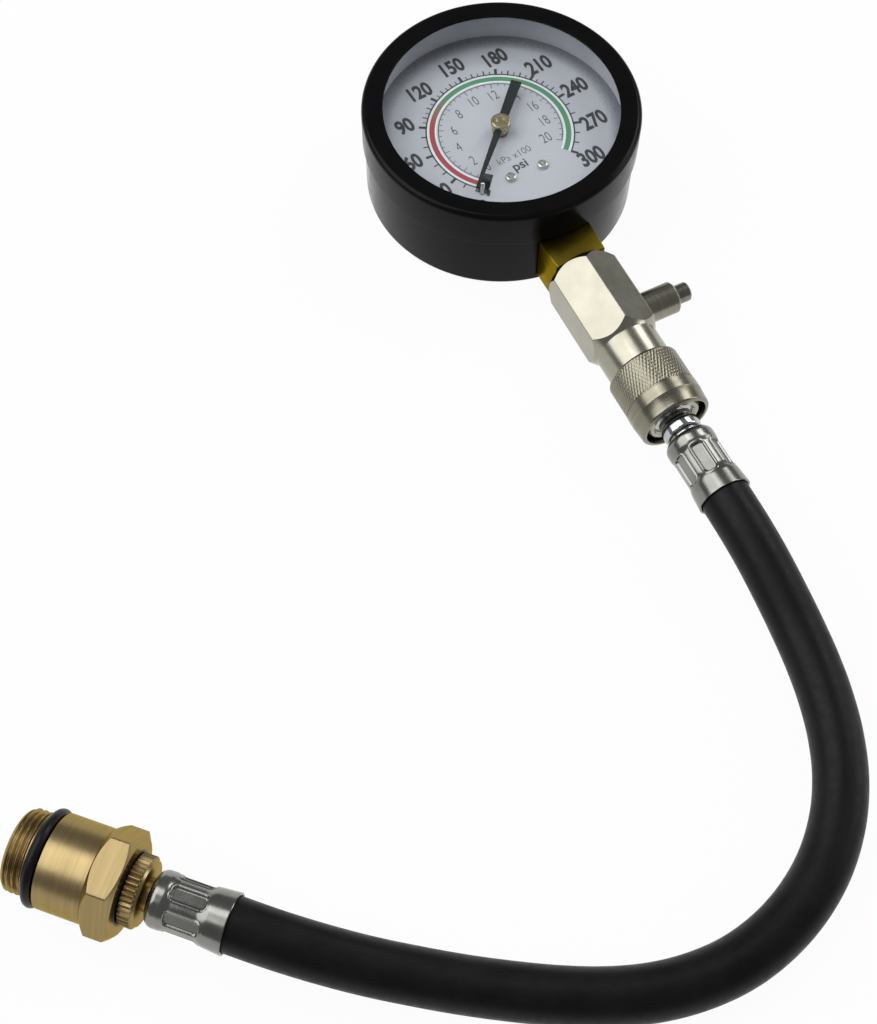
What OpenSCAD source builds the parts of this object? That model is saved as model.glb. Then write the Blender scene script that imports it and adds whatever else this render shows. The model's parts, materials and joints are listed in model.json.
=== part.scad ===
// Compression tester gauge: a round dial gauge with a release valve and a quick coupler,
// a rubber hose with crimped ferrules, and a brass spark plug adapter. Sizes in millimetres.
// The gauge lies on its back. The origin is the centre of the case back, +Z points out of the
// dial, -Y runs along the stem towards the hose and +X points towards the release button.

/* [Gauge case] */
// Outer diameter of the bezel ring
bezel_d = 70; // [68:0.5:74]
// Height from the case back to the top of the bezel
gauge_h = 27.7; // [27.4:0.1:30]
// Length of the bezel skirt down the case wall
skirt_h = 10.5; // [8:0.1:10.8]
// Sheet thickness of the bezel skirt
bezel_t = 0.6; // [0.4:0.1:0.8]
// Thickness of the bezel rim above the lens
rim_t = 0.8; // [0.7:0.1:2]
// Radius of the rolled outer edge of the bezel
roll_r = 1.4; // [1:0.1:1.5]
// Diameter of the window in the bezel
window_d = 59.2; // [57:0.2:61]
// Thickness of the case wall and back
case_t = 1.2; // [1:0.1:1.4]
// Radius of the rounded edge of the case back
case_edge_r = 1.6; // [1:0.1:2.4]
// Thickness of the lens
lens_t = 2; // [1.5:0.1:2.4]

/* [Dial and pointer] */
// Depth from the lens down to the dial face
dial_depth = 7.9; // [7:0.1:8.4]
// Thickness of the dial plate
dial_t = 0.6; // [0.4:0.1:0.8]
// Wall of the pale ring between dial and lens
spacer_t = 1; // [0.8:0.1:2]
// Pointer direction at zero pressure, in degrees
zero_angle = -133.5; // [-135:0.5:-125]
// Reach of the pointer tip from the dial centre
tip_reach = 21; // [18:0.5:24]
// Reach of the pointer tail from the dial centre
tail_reach = 14.6; // [12:0.1:20]
// Height of the pointer above the dial face
pointer_lift = 2.7; // [2:0.1:3]
// Diameter of the pointer hub
hub_d = 5.1; // [4:0.1:6]
// Distance of the stop pin from the dial centre
stop_reach = 20; // [17:0.1:20.4]

/* [Stem and movement] */
// Height of the stem axis above the case back
stem_z = 10; // [9.9:0.1:10.2]
// Width of the square stem block
block_w = 13.5; // [12:0.1:13.8]
// Distance from the dial centre to the end of the stem block
stem_end = 42.5; // [40:0.5:46]
// Mean radius of the Bourdon tube
tube_r = 25.5; // [25:0.1:27]
// Width of the flattened tube section
tube_w = 7; // [6:0.1:7.6]
// Thickness of the flattened tube section
tube_t = 3; // [2.6:0.1:3.2]
// Gear module of the movement
gear_m = 0.3; // [0.28:0.01:0.3]
// Distance between the movement plates
plate_gap = 6; // [5.6:0.1:6.4]

/* [Release valve and coupler] */
// Width across the flats of the hexagonal valve block
hex_af = 17; // [16.6:0.1:17.3]
// Length of the hexagon
hex_len = 23.5; // [22:0.5:26]
// Diameter of the neck behind the sleeve
neck_d = 16; // [15.6:0.1:16.2]
// Length of the neck that shows between hexagon and sleeve
neck_len = 8; // [7:0.1:10]
// Outer diameter of the sliding sleeve
sleeve_d = 18.5; // [18:0.1:18.6]
// Length of the sliding sleeve
sleeve_len = 16.4; // [16:0.1:18]
// Travel of the sleeve towards the gauge
sleeve_travel = 3.5; // [3:0.1:3.6]
// Diameter of the release valve housing
release_d = 8; // [7.4:0.1:9]
// Reach of the release valve housing from the stem axis
release_reach = 17.6; // [16.5:0.1:19]
// Diameter of the release button
button_d = 4.84; // [4.4:0.01:5]
// Reach of the release button from the stem axis
button_reach = 21.4; // [20.6:0.1:23]

/* [Hose and adapter] */
// Outer diameter of the hose
hose_d = 12; // [11.6:0.1:12.2]
// Bore of the hose
hose_bore = 6; // [5.8:0.1:6.4]
// Length of each crimped ferrule
ferrule_len = 17.5; // [17:0.1:18]
// Pressed flutes around each ferrule
flutes = 6; // [5:1:7]
// Major diameter of the spark plug thread
thread_d = 18; // [17.8:0.1:18]
// Length of the spark plug thread
thread_len = 5; // [4:0.1:6]
// Diameter of the round adapter body
body_d = 20.5; // [20:0.1:21]
// Length of the round adapter body
body_len = 10.5; // [9:0.1:12]
// Width across the flats of the adapter hexagon
adapter_af = 21.3; // [21:0.1:21.4]
// Length of the adapter hexagon
adapter_hex_len = 6.7; // [6:0.1:8]
// Diameter of the knurled collar
collar_d = 15.5; // [14.6:0.1:17]
// Length of the knurled collar
collar_len = 3.7; // [3:0.1:4.5]

/* [Hidden] */
$fn = 96;

// Clearances: a glued or pressed seat, a running pivot and a sliding guide
seat_gap = 0.05;
pivot_gap = 0.03;
slide_gap = 0.08;
// Overlap that makes a cutter pass through a face
cut = 0.5;

// Heights in the gauge, from the back upwards
bezel_r = bezel_d / 2;
window_r = window_d / 2;
case_r = bezel_r - bezel_t - seat_gap;
case_in_r = case_r - case_t;
lens_top = gauge_h - rim_t;
lens_z = lens_top - lens_t;
lens_r = case_r - 3 * seat_gap;
dial_top = lens_z - dial_depth;
dial_z = dial_top - dial_t;
dial_r = case_in_r - 3 * seat_gap;
dial_hole_r = 2;
rim_slope = 0.3;
rim_land = 1.8;
rim_drop = 0.05;

// Dial screws, stop pin and pointer
dial_screw_x = 4.5;
dial_screw_y = -14.3;
dial_screw_head_r = 1.4;
dial_screw_head_h = 0.9;
dial_screw_r = 0.75;
dial_screw_len = 3.5;
stop_r = 0.55;
stop_h = 3.9;
pointer_z = dial_top + pointer_lift;
pointer_t = 0.4;
tip_w = 0.7;
root_w = 2;
tail_root_w = 2.2;
tail_w = 2.8;
hub_shank_r = 1.3;
hub_boss_r = 2.2;
hub_top_h = 1.2;
hub_dimple_r = 1.1;
stop_angle = zero_angle + (stop_r + tip_w / 2 + 3 * seat_gap) / stop_reach * 180 / PI;

// Stem block, tongue and posts
block_slot_gap = 0.2;
block_room = 0.7;
block_in_y = -20;
block_in_top = dial_z - block_room;
tongue_w = 12;
tongue_far_y = 8;
tongue_root = 6;
post_r = 2;
spigot_r = 4.85;
spigot_len = 9.5;
passage_r = 1.5;
stem_passage_r = 1.2;
block_chamfer = 0.8;

// Bourdon tube: it runs clockwise from the stem block round to the tip
tube_wall = 0.4;
tube_root_a = -94;
tube_chamber_a = -86;
tube_slot_sweep = 45;
tube_tip_a = 4;
tube_sweep = 360 - (tube_tip_a - tube_root_a);
tip_cap_a = 8;
tip_plug_a = 6;

// Movement plates, pillars and gears: the movement keeps its room below the dial
plate_t = 1;
movement_room = 0.9;
movement_screw_r = 0.6;
movement_screw_head_r = 1.3;
movement_screw_head_h = 0.8;
movement_screw_len = 2.4;
tongue_top = dial_z - movement_room - movement_screw_head_h - 2 * plate_t - plate_gap;
plate_lo = [-7.5, -7.5];
plate_hi = [15, 15];
plate_corner_r = 2.5;
bottom_plate_z = tongue_top;
pillar_z = bottom_plate_z + plate_t;
top_plate_z = pillar_z + plate_gap;
pillar_at = [[-5, -5], [-5, 12.5], [12.5, -5]];
pillar_r = 1.5;
pillar_spigot_r = 0.9;
plate_screw_at = [[-4.2, 4], [4, -5.5]];
arbor_r = 0.75;
pinion_teeth = 12;
sector_teeth = 96;
pinion_pitch_r = gear_m * pinion_teeth / 2;
sector_pitch_r = gear_m * sector_teeth / 2;
gear_distance = pinion_pitch_r + sector_pitch_r;
sector_dir = 45;
sector_at = gear_distance * [cos(sector_dir), sin(sector_dir)];
pointer_span = 280;
sector_span = pointer_span * pinion_teeth / sector_teeth;
sector_lift = 2.8;
sector_z = bottom_plate_z + sector_lift;
sector_t = 0.8;
sector_tooth_count = 13;
sector_hub_r = 2.2;
sector_rim_w = 2.4;
sector_arm_a = 5;
tooth_pitch_a = 360 / sector_teeth;
tooth_out = 0.8 * gear_m;
tooth_in = 1.1 * gear_m;
pinion_z = sector_z - 0.4;
pinion_face = 1.6;
collet_r = 1.3;
collet_z = pinion_z + pinion_face + 0.8;
collet_h = 1.2;
hairspring_z = collet_z + 0.2;
hairspring_h = 0.8;
hairspring_t = 0.15;
hairspring_turns = 4;
hairspring_out_r = 4.85;
hairspring_stud_r = 0.5;
hairspring_steps = 96;

// Link between tube tip and sector tail
tail_len = 6;
tail_half_w = 1.3;
tail_end_r = 1.9;
tail_slot_r = 0.62;
tail_slot_reach = 0.55;
tail_a = -sector_span / 2;
link_len = 10.5;
link_end_r = 1.5;
link_half_w = 1.1;
link_t = 0.55;
link_z = sector_z + sector_t + 0.15;
link_stud_r = 0.55;
tail_pin_at = sector_at + tail_len * [cos(tail_a), sin(tail_a)];
tip_pin_at = tail_pin_at - [0, link_len];
tip_stud_r = 0.6;
lug_half_w = 1.5;

// Countersunk screws through the case back
case_screw_y = [-17, 4.5];
case_screw_r = 1.45;
case_screw_head_r = 2.7;
case_screw_recess = 0.05;
case_screw_cover = 1.2;
case_screw_end = tongue_top - case_screw_cover;

// Stations along the stem, measured from the gauge axis towards the hose
hex_end = stem_end + hex_len;
sleeve_s = hex_end + neck_len;
sleeve_end = sleeve_s + sleeve_len;
neck_r = neck_d / 2;
neck_end = sleeve_s + 2;
barrel_r = 6.9;
barrel_end = sleeve_end - 0.8;
socket_r = 5.05;
socket_s = sleeve_s - 2.5;
hex_chamfer_share = 0.97;
hex_chamfer_slope = tan(55);
hex_face_r = hex_af / 2 * hex_chamfer_share;

// Sleeve, locking balls and retaining ring
sleeve_r = sleeve_d / 2;
sleeve_in_r = neck_r + slide_gap;
coil_stack_h = 2.5;
rib_s = neck_end + coil_stack_h + sleeve_travel;
rib_len = 3;
rib_r = barrel_r + slide_gap + 0.02;
recess_r = 7.9;
sleeve_knurl_drop = 0.1;
sleeve_knurl_len = 9;
sleeve_groove_s = sleeve_s + sleeve_knurl_len;
sleeve_groove_w = 0.35;
sleeve_groove_depth = 0.25;
sleeve_end_chamfer = 1;
sleeve_start_round = 0.9;
ball_r = 1.25;
ball_count = 6;
ball_s = rib_s + rib_len / 2;
ball_at_r = rib_r - pivot_gap - ball_r;
ring_s = rib_s + rib_len + seat_gap;
ring_t = 0.8;
ring_in_r = 6.45;
ring_out_r = 7.6;
ring_gap_w = 3;
sleeve_wire_r = 0.4;
sleeve_coil_r = (barrel_r + sleeve_in_r) / 2;
sleeve_coil_turns = 2.5;

// Plug that the sleeve locks
plug_r = socket_r - 0.07;
plug_nose_r = 3.35;
plug_nose_len = 3;
plug_nose_s = socket_s + 0.7;
plug_body_s = plug_nose_s + plug_nose_len;
plug_groove_r = 4.3;
plug_groove_floor = 0.9;
plug_groove_half = 1.7;
plug_neck_r = 4.2;
plug_collar_r = 4.75;
plug_collar_s = sleeve_end + 0.6;
plug_collar_len = 3.2;
plug_bore_r = 1.3;
seal_minor_r = 0.8;
seal_s = socket_s + 0.1 + seal_minor_r;
barb_r = 2.75;
barb_ring_r = 2.85;

// Release valve, measured along X from the stem axis
release_from_hex = 16.5;
release_s = stem_end + release_from_hex;
release_spigot_r = 3;
release_spigot_x = 4.5;
release_seat_x = 6.5;
release_shelf_x = 10;
release_chamber_r = 2.2;
release_stem_hole_r = 1.1;
release_guide_r = button_d / 2 + slide_gap;
release_chamfer = 0.6;
button_head_x = 13.5;
button_stem_r = 0.8;
button_disc_r = 1.9;
button_disc_t = 0.8;
release_seal_t = 1;
button_edge = 0.4;
release_wire_r = 0.22;
release_coil_r = 1.65;
release_coil_turns = 3;

// Ferrules: lengths run from the rolled shoulder to the flared mouth
ferrule_s = sleeve_end + 4.6;
ferrule_neck_r = 3.75;
ferrule_grip_r = 3.6;
shoulder_r = 6.15;
shoulder_round = 2;
shoulder_end = 4;
flute_start = 5;
flute_end = ferrule_len - 5.7;
ridge_r = 5.65;
flute_flat_r = 5.2;
flute_w = 3.2;
gauge_ferrule_turn = 42;
adapter_ferrule_turn = 20;
flare_start = flute_end + 1.4;
flare_r = hose_d / 2 + 0.65;
ferrule_in_r = 4.7;
ferrule_wall_end = 1.2;
mouth_r = hose_d / 2 + 0.2;
crimped_hose_r = ferrule_in_r - 0.1;

// Adapter axis: it lies on the floor at its own place and angle
adapter_pos = [-174, -118.5];
adapter_angle = -46;
adapter_z = adapter_af / 2 + 0.1;
adapter_dir = [cos(adapter_angle), sin(adapter_angle)];

// Stations along the adapter, measured from the thread end towards the hose
thread_r = thread_d / 2;
thread_chamfer = 0.8;
groove_w = 3;
groove_r = 8.2;
ring_minor_r = 1.2;
body_r = body_d / 2;
body_t = thread_len + groove_w;
adapter_hex_t = body_t + body_len;
adapter_end = adapter_hex_t + adapter_hex_len;
adapter_hex_chamfer = 0.3;
gas_r = 3.5;
female_t = body_t + 2;
female_r = 7.02;
spigot_m14_r = female_r - slide_gap;
fitting_t = female_t + 3;
counterbore_r = 8.6;
counterbore_depth = 2;
fitting_ring_minor_r = 0.78;
collar_t = adapter_end + 0.2;
collar_end = collar_t + collar_len;
collar_r = collar_d / 2;
collar_chamfer = 0.35;
knurl_count = 40;
knurl_size = 0.7;
ferrule_t = collar_end + 1.1;
core_r = 2.55;
core_len = 5.5;
core_t = fitting_t + 0.5;
core_bore_len = 9;
core_chamber_r = 1.6;
core_chamber_len = 4;
core_hole_r = 0.75;
pin_r = 0.55;
pin_start = core_t - 1.1;
pin_flange_r = 1.4;
pin_flange_t = 0.5;
pin_disc_t = 0.8;
core_seal_t = 0.3;
core_wire_r = 0.15;
core_coil_r = 1.1;
core_coil_turns = 5;

// Hose route along the floor, from the gauge ferrule to the adapter ferrule
hose_route = [
    [0, -98, 10], [0, -106.8, 10], [0, -112.5, 10], [0, -121, 9.7], [-0.1, -129.5, 8.8],
    [-0.5, -138, 7.6], [-1.2, -146.5, 6.6], [-2.4, -155.1, 6.1], [-4.4, -163.7, 6.1],
    [-7.3, -172.3, 6.1], [-11.5, -180.8, 6.1], [-17.3, -188.6, 6.1], [-24.6, -195.2, 6.1],
    [-32.9, -200.1, 6.1], [-41.8, -203.3, 6.1], [-51.1, -204.8, 6.1], [-60.5, -204.4, 6.1],
    [-69.7, -202.4, 6.1], [-78.5, -199, 6.1], [-87.1, -194.5, 6.1], [-95.5, -189.3, 6.1],
    [-103.8, -183.7, 6.2], [-111.8, -177.9, 6.7], [-119.6, -172, 7.6], [-127, -165.9, 8.8],
    [-134, -159.6, 9.9], [-140.6, -153.1, 10.7], [-144.8, -148.7, 10.75], [-150.7, -142.6, 10.75]
];
hose_steps = 2;
hose_sides = 12;
wire_sides = 8;

// Points on an arc of radius r about c, from angle a0 to a1
function arc(c, r, a0, a1, n = 8) =
    [for (i = [0:n]) let (a = a0 + (a1 - a0) * i / n) c + r * [cos(a), sin(a)]];

function unit(v) = v / norm(v);

// Curve through the points of a route, with the given number of steps between them
function spline_point(p0, p1, p2, p3, u) =
    0.5 * (2 * p1 + (p2 - p0) * u + (2 * p0 - 5 * p1 + 4 * p2 - p3) * pow(u, 2)
    + (3 * p1 - p0 - 3 * p2 + p3) * pow(u, 3));
function spline(route, steps) =
    let (last = len(route) - 1)
    concat(
        [for (i = [0:last - 1], j = [0:steps - 1])
            spline_point(route[max(i - 1, 0)], route[i], route[i + 1], route[min(i + 2, last)], j / steps)],
        [route[last]]);

// Points of one ring round a path
function ring_points(path, i, r, sides) =
    let (
        ahead = path[min(i + 1, len(path) - 1)],
        behind = path[max(i - 1, 0)],
        along = unit(ahead - behind),
        side = unit(cross(along, [0, 0, 1])),
        up = cross(side, along))
    [for (k = [0:sides - 1]) path[i] + r * (cos(360 * k / sides) * side + sin(360 * k / sides) * up)];

// Two triangles for each side between neighbouring rings, from the given first index
function wall_faces(rings, sides, first, outward) =
    [for (i = [0:rings - 2], k = [0:sides - 1])
        let (
            a = first + i * sides + k,
            b = first + i * sides + (k + 1) % sides,
            c = b + sides,
            d = a + sides)
        each outward ? [[a, b, c], [a, c, d]] : [[a, c, b], [a, d, c]]];

// Two triangles for each side between an outer and an inner ring
function end_faces(sides, outer, inner, at_start) =
    [for (k = [0:sides - 1])
        let (a = outer + k, b = outer + (k + 1) % sides, c = inner + (k + 1) % sides, d = inner + k)
        each at_start ? [[a, d, c], [a, c, b]] : [[a, b, c], [a, c, d]]];

// Points of a gear tooth about the centre angle c; each row is a radius and a half width
function tooth(c, rows) =
    let (back = [for (i = [len(rows) - 1:-1:0]) rows[i]])
    concat(
        [for (p = rows) let (a = c - p[1] / p[0] * 180 / PI) p[0] * [cos(a), sin(a)]],
        [for (p = back) let (a = c + p[1] / p[0] * 180 / PI) p[0] * [cos(a), sin(a)]]);
function tooth_rows(pitch_r, root_half, pitch_half, tip_half) =
    [[pitch_r - tooth_in, root_half], [pitch_r, pitch_half], [pitch_r + tooth_out, tip_half]];

// Hose radius: narrow under the pressed flutes, full outside the ferrules
function ferrule_depth(p) =
    min(-p[1] - ferrule_s, ([p[0], p[1]] - adapter_pos) * adapter_dir - ferrule_t);
function hose_radius(p) =
    let (share = min(1, max(0, (ferrule_depth(p) - flute_end) / (ferrule_len - flute_end - 1))))
    crimped_hose_r + (hose_d / 2 - crimped_hose_r) * share;

// Axis of the stem: local Z runs towards the hose and local Y points up
module stem_axis() {
    translate([0, 0, stem_z]) rotate([90, 0, 0]) children();
}

// Axis of the adapter: local Z runs from the thread end towards the hose
module adapter_axis() {
    translate([adapter_pos[0], adapter_pos[1], adapter_z])
        rotate([0, 0, adapter_angle + 90]) rotate([90, 0, 0]) children();
}

// Axis of the release valve: local Z points out of the button
module release_axis() {
    stem_axis() translate([0, 0, release_s]) rotate([0, 90, 0]) children();
}

module lathe(points) {
    rotate_extrude() polygon(points);
}

module ring(outer_r, inner_r, h) {
    difference() {
        cylinder(r = outer_r, h = h);
        translate([0, 0, -cut]) cylinder(r = inner_r, h = h + 2 * cut);
    }
}

module o_ring(centre_r, minor_r) {
    rotate_extrude() translate([centre_r, 0]) circle(minor_r, $fn = 32);
}

// Flat shape with round ends, centred, its length along X
module slot_shape(length, width) {
    square([length - width, width], center = true);
    for (side = [-1, 1])
        translate([side * (length - width) / 2, 0]) circle(width / 2, $fn = 48);
}

module rounded_plate(lo, hi, r, t) {
    linear_extrude(t) union() {
        translate(lo + [r, 0]) square([hi[0] - lo[0] - 2 * r, hi[1] - lo[1]]);
        translate(lo + [0, r]) square([hi[0] - lo[0], hi[1] - lo[1] - 2 * r]);
        for (x = [lo[0] + r, hi[0] - r], y = [lo[1] + r, hi[1] - r])
            translate([x, y]) circle(r);
    }
}

// Hexagonal bar with both ends turned down to a cone that ends at face_r
module hex_bar(af, length, face_r, slope) {
    corner_r = af / sqrt(3);
    chamfer = (corner_r - face_r) * slope;
    intersection() {
        cylinder(r = corner_r, h = length, $fn = 6);
        lathe([[0, 0], [face_r, 0], [corner_r, chamfer], [corner_r, length - chamfer],
            [face_r, length], [0, length]]);
    }
}

// Coil spring along Z, from one end face to the other
module coil(mean_r, wire_r, z0, z1, turns) {
    steps = 16;
    count = round(turns * steps);
    rise = z1 - z0 - 2 * wire_r;
    path = [for (i = [0:count])
        [mean_r * cos(360 * i / steps), mean_r * sin(360 * i / steps), z0 + wire_r + rise * i / count]];
    points = [for (i = [0:count]) each ring_points(path, i, wire_r, wire_sides)];
    start_cap = [for (k = [wire_sides - 1:-1:0]) k];
    end_cap = [for (k = [0:wire_sides - 1]) count * wire_sides + k];
    polyhedron(points, concat(wall_faces(count + 1, wire_sides, 0, true), [start_cap, end_cap]));
}

// Cross-head screw with its head upwards and the head's seat at z = 0
module cross_screw(head_r, head_h, shank_r, shank_len) {
    slot_w = head_r * 0.3;
    slot_l = head_r * 1.3;
    difference() {
        union() {
            lathe(concat([[0, 0], [head_r, 0], [head_r, head_h * 0.4]],
                arc([head_r - head_h * 0.6, head_h * 0.4], head_h * 0.6, 0, 90), [[0, head_h]]));
            translate([0, 0, -shank_len]) cylinder(r = shank_r, h = shank_len + cut / 5);
        }
        for (a = [0, 90])
            rotate(a) translate([0, 0, head_h]) cube([slot_l, slot_w, head_h], center = true);
    }
}

// Flattened tube section, upright, at its mean radius
module tube_section(grow = 0) {
    translate([tube_r, 0]) rotate(90) slot_shape(tube_w + 2 * grow, tube_t + 2 * grow);
}

// Opening in the case wall that the stem block passes through
module stem_slot() {
    slot_w = block_w + 2 * block_slot_gap;
    translate([-slot_w / 2, -bezel_r - cut, stem_z - slot_w / 2]) cube([slot_w, bezel_r, slot_w]);
}

module case() {
    color("black") difference() {
        rotate_extrude() difference() {
            union() {
                square([case_r - case_edge_r, lens_z]);
                translate([0, case_edge_r]) square([case_r, lens_z - case_edge_r]);
                translate([case_r - case_edge_r, case_edge_r]) circle(case_edge_r);
            }
            translate([0, case_t]) square([case_in_r, lens_z]);
        }
        stem_slot();
        for (y = case_screw_y) translate([0, y, 0]) {
            translate([0, 0, -cut]) cylinder(r = case_screw_r + slide_gap, h = case_t + 2 * cut);
            translate([0, 0, -seat_gap])
                cylinder(r1 = case_screw_head_r + 2 * slide_gap, r2 = case_screw_r + slide_gap, h = case_t);
        }
    }
}

module bezel() {
    skirt_in_r = bezel_r - bezel_t;
    color("black") difference() {
        rotate_extrude() difference() {
            union() {
                translate([skirt_in_r, gauge_h - skirt_h]) square([bezel_t, skirt_h - roll_r]);
                translate([bezel_r - roll_r, gauge_h - roll_r]) circle(roll_r);
                translate([bezel_r - roll_r, gauge_h - roll_r - rim_t]) square([roll_r, rim_t]);
                polygon([[window_r, lens_top], [bezel_r - roll_r, lens_top], [bezel_r - roll_r, gauge_h],
                    [window_r + rim_land, gauge_h - rim_drop], [window_r, gauge_h - rim_slope]]);
            }
            square([skirt_in_r, lens_top]);
        }
        stem_slot();
    }
}

module lens() {
    color([0.85, 0.9, 0.95, 0.3]) translate([0, 0, lens_z]) cylinder(r = lens_r, h = lens_t);
}

module dial_spacer_ring() {
    color("whitesmoke") translate([0, 0, dial_top]) ring(dial_r, dial_r - spacer_t, lens_z - dial_top);
}

module dial_plate() {
    color("ghostwhite") difference() {
        translate([0, 0, dial_z]) cylinder(r = dial_r, h = dial_t);
        translate([0, 0, dial_z - cut]) cylinder(r = dial_hole_r, h = dial_t + 2 * cut);
        for (side = [-1, 1]) translate([side * dial_screw_x, dial_screw_y, dial_z - cut])
            cylinder(r = dial_screw_r + slide_gap, h = dial_t + 2 * cut);
        rotate(stop_angle) translate([stop_reach, 0, dial_z - cut])
            cylinder(r = stop_r + seat_gap, h = dial_t + 2 * cut);
    }
}

module dial_screws() {
    color("silver") for (side = [-1, 1]) translate([side * dial_screw_x, dial_screw_y, dial_top])
        cross_screw(dial_screw_head_r, dial_screw_head_h, dial_screw_r, dial_screw_len);
}

module stop_pin() {
    color("silver") rotate(stop_angle) translate([stop_reach, 0, dial_z]) {
        cylinder(r = stop_r, h = dial_t + stop_h - stop_r);
        translate([0, 0, dial_t + stop_h - stop_r]) sphere(stop_r, $fn = 48);
    }
}

module pointer() {
    color("dimgray") translate([0, 0, pointer_z]) rotate(zero_angle) difference() {
        union() {
            linear_extrude(pointer_t) polygon([[0, root_w / 2], [tip_reach, tip_w / 2],
                [tip_reach, -tip_w / 2], [0, -root_w / 2], [0, -tail_root_w / 2],
                [-tail_reach, -tail_w / 2], [-tail_reach, tail_w / 2], [0, tail_root_w / 2]]);
            cylinder(r = hub_boss_r, h = pointer_t);
        }
        translate([0, 0, -cut]) cylinder(r = hub_shank_r + seat_gap / 2, h = pointer_t + 2 * cut);
    }
}

module pointer_hub() {
    hub_r = hub_d / 2;
    hub_edge = 0.3;
    shank_z = dial_top + 1;
    blade_top = pointer_z + pointer_t;
    color("khaki") difference() {
        union() {
            lathe([[0, shank_z], [hub_boss_r, shank_z], [hub_boss_r, pointer_z],
                [hub_shank_r, pointer_z], [hub_shank_r, blade_top], [hub_r, blade_top],
                [hub_r, blade_top + hub_top_h - hub_edge],
                [hub_r - hub_edge, blade_top + hub_top_h], [0, blade_top + hub_top_h]]);
        }
        translate([0, 0, shank_z - cut]) cylinder(r = arbor_r + seat_gap / 2, h = gauge_h);
        translate([0, 0, blade_top + hub_top_h - hub_edge]) cylinder(r = hub_dimple_r, h = 1);
    }
}

module pinion() {
    rows = tooth_rows(pinion_pitch_r, 0.24, 0.18, 0.09);
    arbor_z = bottom_plate_z + 0.1;
    arbor_top = pointer_z + pointer_t + hub_top_h * 0.7;
    color("goldenrod") {
        translate([0, 0, arbor_z]) cylinder(r = arbor_r, h = arbor_top - arbor_z);
        translate([0, 0, pinion_z]) linear_extrude(pinion_face)
            polygon([for (i = [0:pinion_teeth - 1]) each tooth(sector_dir + i * 360 / pinion_teeth, rows)]);
        translate([0, 0, collet_z]) cylinder(r = collet_r, h = collet_h);
    }
}

module hairspring() {
    start_r = collet_r + seat_gap;
    end_r = hairspring_out_r - hairspring_t;
    winding = 360 * hairspring_turns;
    inner = [for (i = [0:hairspring_steps])
        let (u = i / hairspring_steps, a = 90 + winding * u, r = start_r + (end_r - start_r) * u)
        [r * cos(a), r * sin(a)]];
    outer = [for (i = [hairspring_steps:-1:0])
        let (u = i / hairspring_steps, a = 90 + winding * u, r = start_r + (end_r - start_r) * u)
        (r + hairspring_t) * [cos(a), sin(a)]];
    color("steelblue") translate([0, 0, hairspring_z]) linear_extrude(hairspring_h)
        polygon(concat(inner, outer));
}

module sector_gear() {
    rows = tooth_rows(sector_pitch_r, 0.3, 0.18, 0.1);
    first_a = sector_dir + 180 + tooth_pitch_a * 1.5 - tooth_pitch_a * (sector_tooth_count - 1);
    last_a = first_a + tooth_pitch_a * (sector_tooth_count - 1);
    window_out_r = sector_pitch_r - tooth_in - sector_rim_w;
    window_in_r = sector_hub_r + 1.6;
    color("gold") translate([sector_at[0], sector_at[1], 0]) {
        translate([0, 0, sector_z]) linear_extrude(sector_t) difference() {
            union() {
                circle(sector_hub_r);
                polygon(concat([[0, 0]],
                    [for (i = [0:sector_tooth_count - 1]) each tooth(first_a + i * tooth_pitch_a, rows)]));
                rotate(tail_a) {
                    translate([0, -tail_half_w]) square([tail_len, 2 * tail_half_w]);
                    translate([tail_len, 0]) circle(tail_end_r);
                }
            }
            polygon(concat(arc([0, 0], window_out_r, first_a + sector_arm_a, last_a - sector_arm_a),
                arc([0, 0], window_in_r, last_a - 2.5 * sector_arm_a, first_a + 2.5 * sector_arm_a)));
            rotate(tail_a) translate([tail_len, 0])
                slot_shape(2 * (tail_slot_r + tail_slot_reach), 2 * tail_slot_r);
        }
        translate([0, 0, bottom_plate_z + 0.1]) cylinder(r = arbor_r, h = plate_gap + 2 * plate_t - 0.2);
        translate([0, 0, sector_z - 0.6]) cylinder(r = sector_hub_r - 0.6, h = sector_t + 1.2);
    }
}

module movement_link() {
    color("silver") {
        translate([tip_pin_at[0], tip_pin_at[1], link_z]) linear_extrude(link_t) difference() {
            union() {
                translate([-link_half_w, 0]) square([2 * link_half_w, link_len]);
                circle(link_end_r);
                translate([0, link_len]) circle(link_end_r);
            }
            circle(tip_stud_r + pivot_gap, $fn = 48);
        }
        translate([tail_pin_at[0], tail_pin_at[1], sector_z - 0.2])
            cylinder(r = link_stud_r, h = link_z + link_t - sector_z + 0.2, $fn = 48);
    }
}

module tube_tip() {
    lug_len = tube_r - tip_pin_at[0];
    color("goldenrod") {
        translate([0, 0, stem_z]) {
            rotate(tube_tip_a - tip_cap_a) rotate_extrude(angle = tip_cap_a) tube_section();
            rotate(tube_tip_a - 1) rotate_extrude(angle = tip_plug_a + 1) tube_section(-tube_wall - seat_gap);
        }
        translate([tip_pin_at[0], tip_pin_at[1], sector_z]) {
            cylinder(r = lug_half_w, h = sector_t);
            translate([0, -lug_half_w, 0]) cube([lug_len, 2 * lug_half_w, sector_t]);
            cylinder(r = tip_stud_r, h = link_z + link_t - sector_z + 0.4, $fn = 48);
        }
    }
}

module bourdon_tube() {
    color("darkgoldenrod") translate([0, 0, stem_z]) rotate(tube_tip_a)
        rotate_extrude(angle = tube_sweep) difference() {
            tube_section();
            tube_section(-tube_wall);
        }
}

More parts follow.
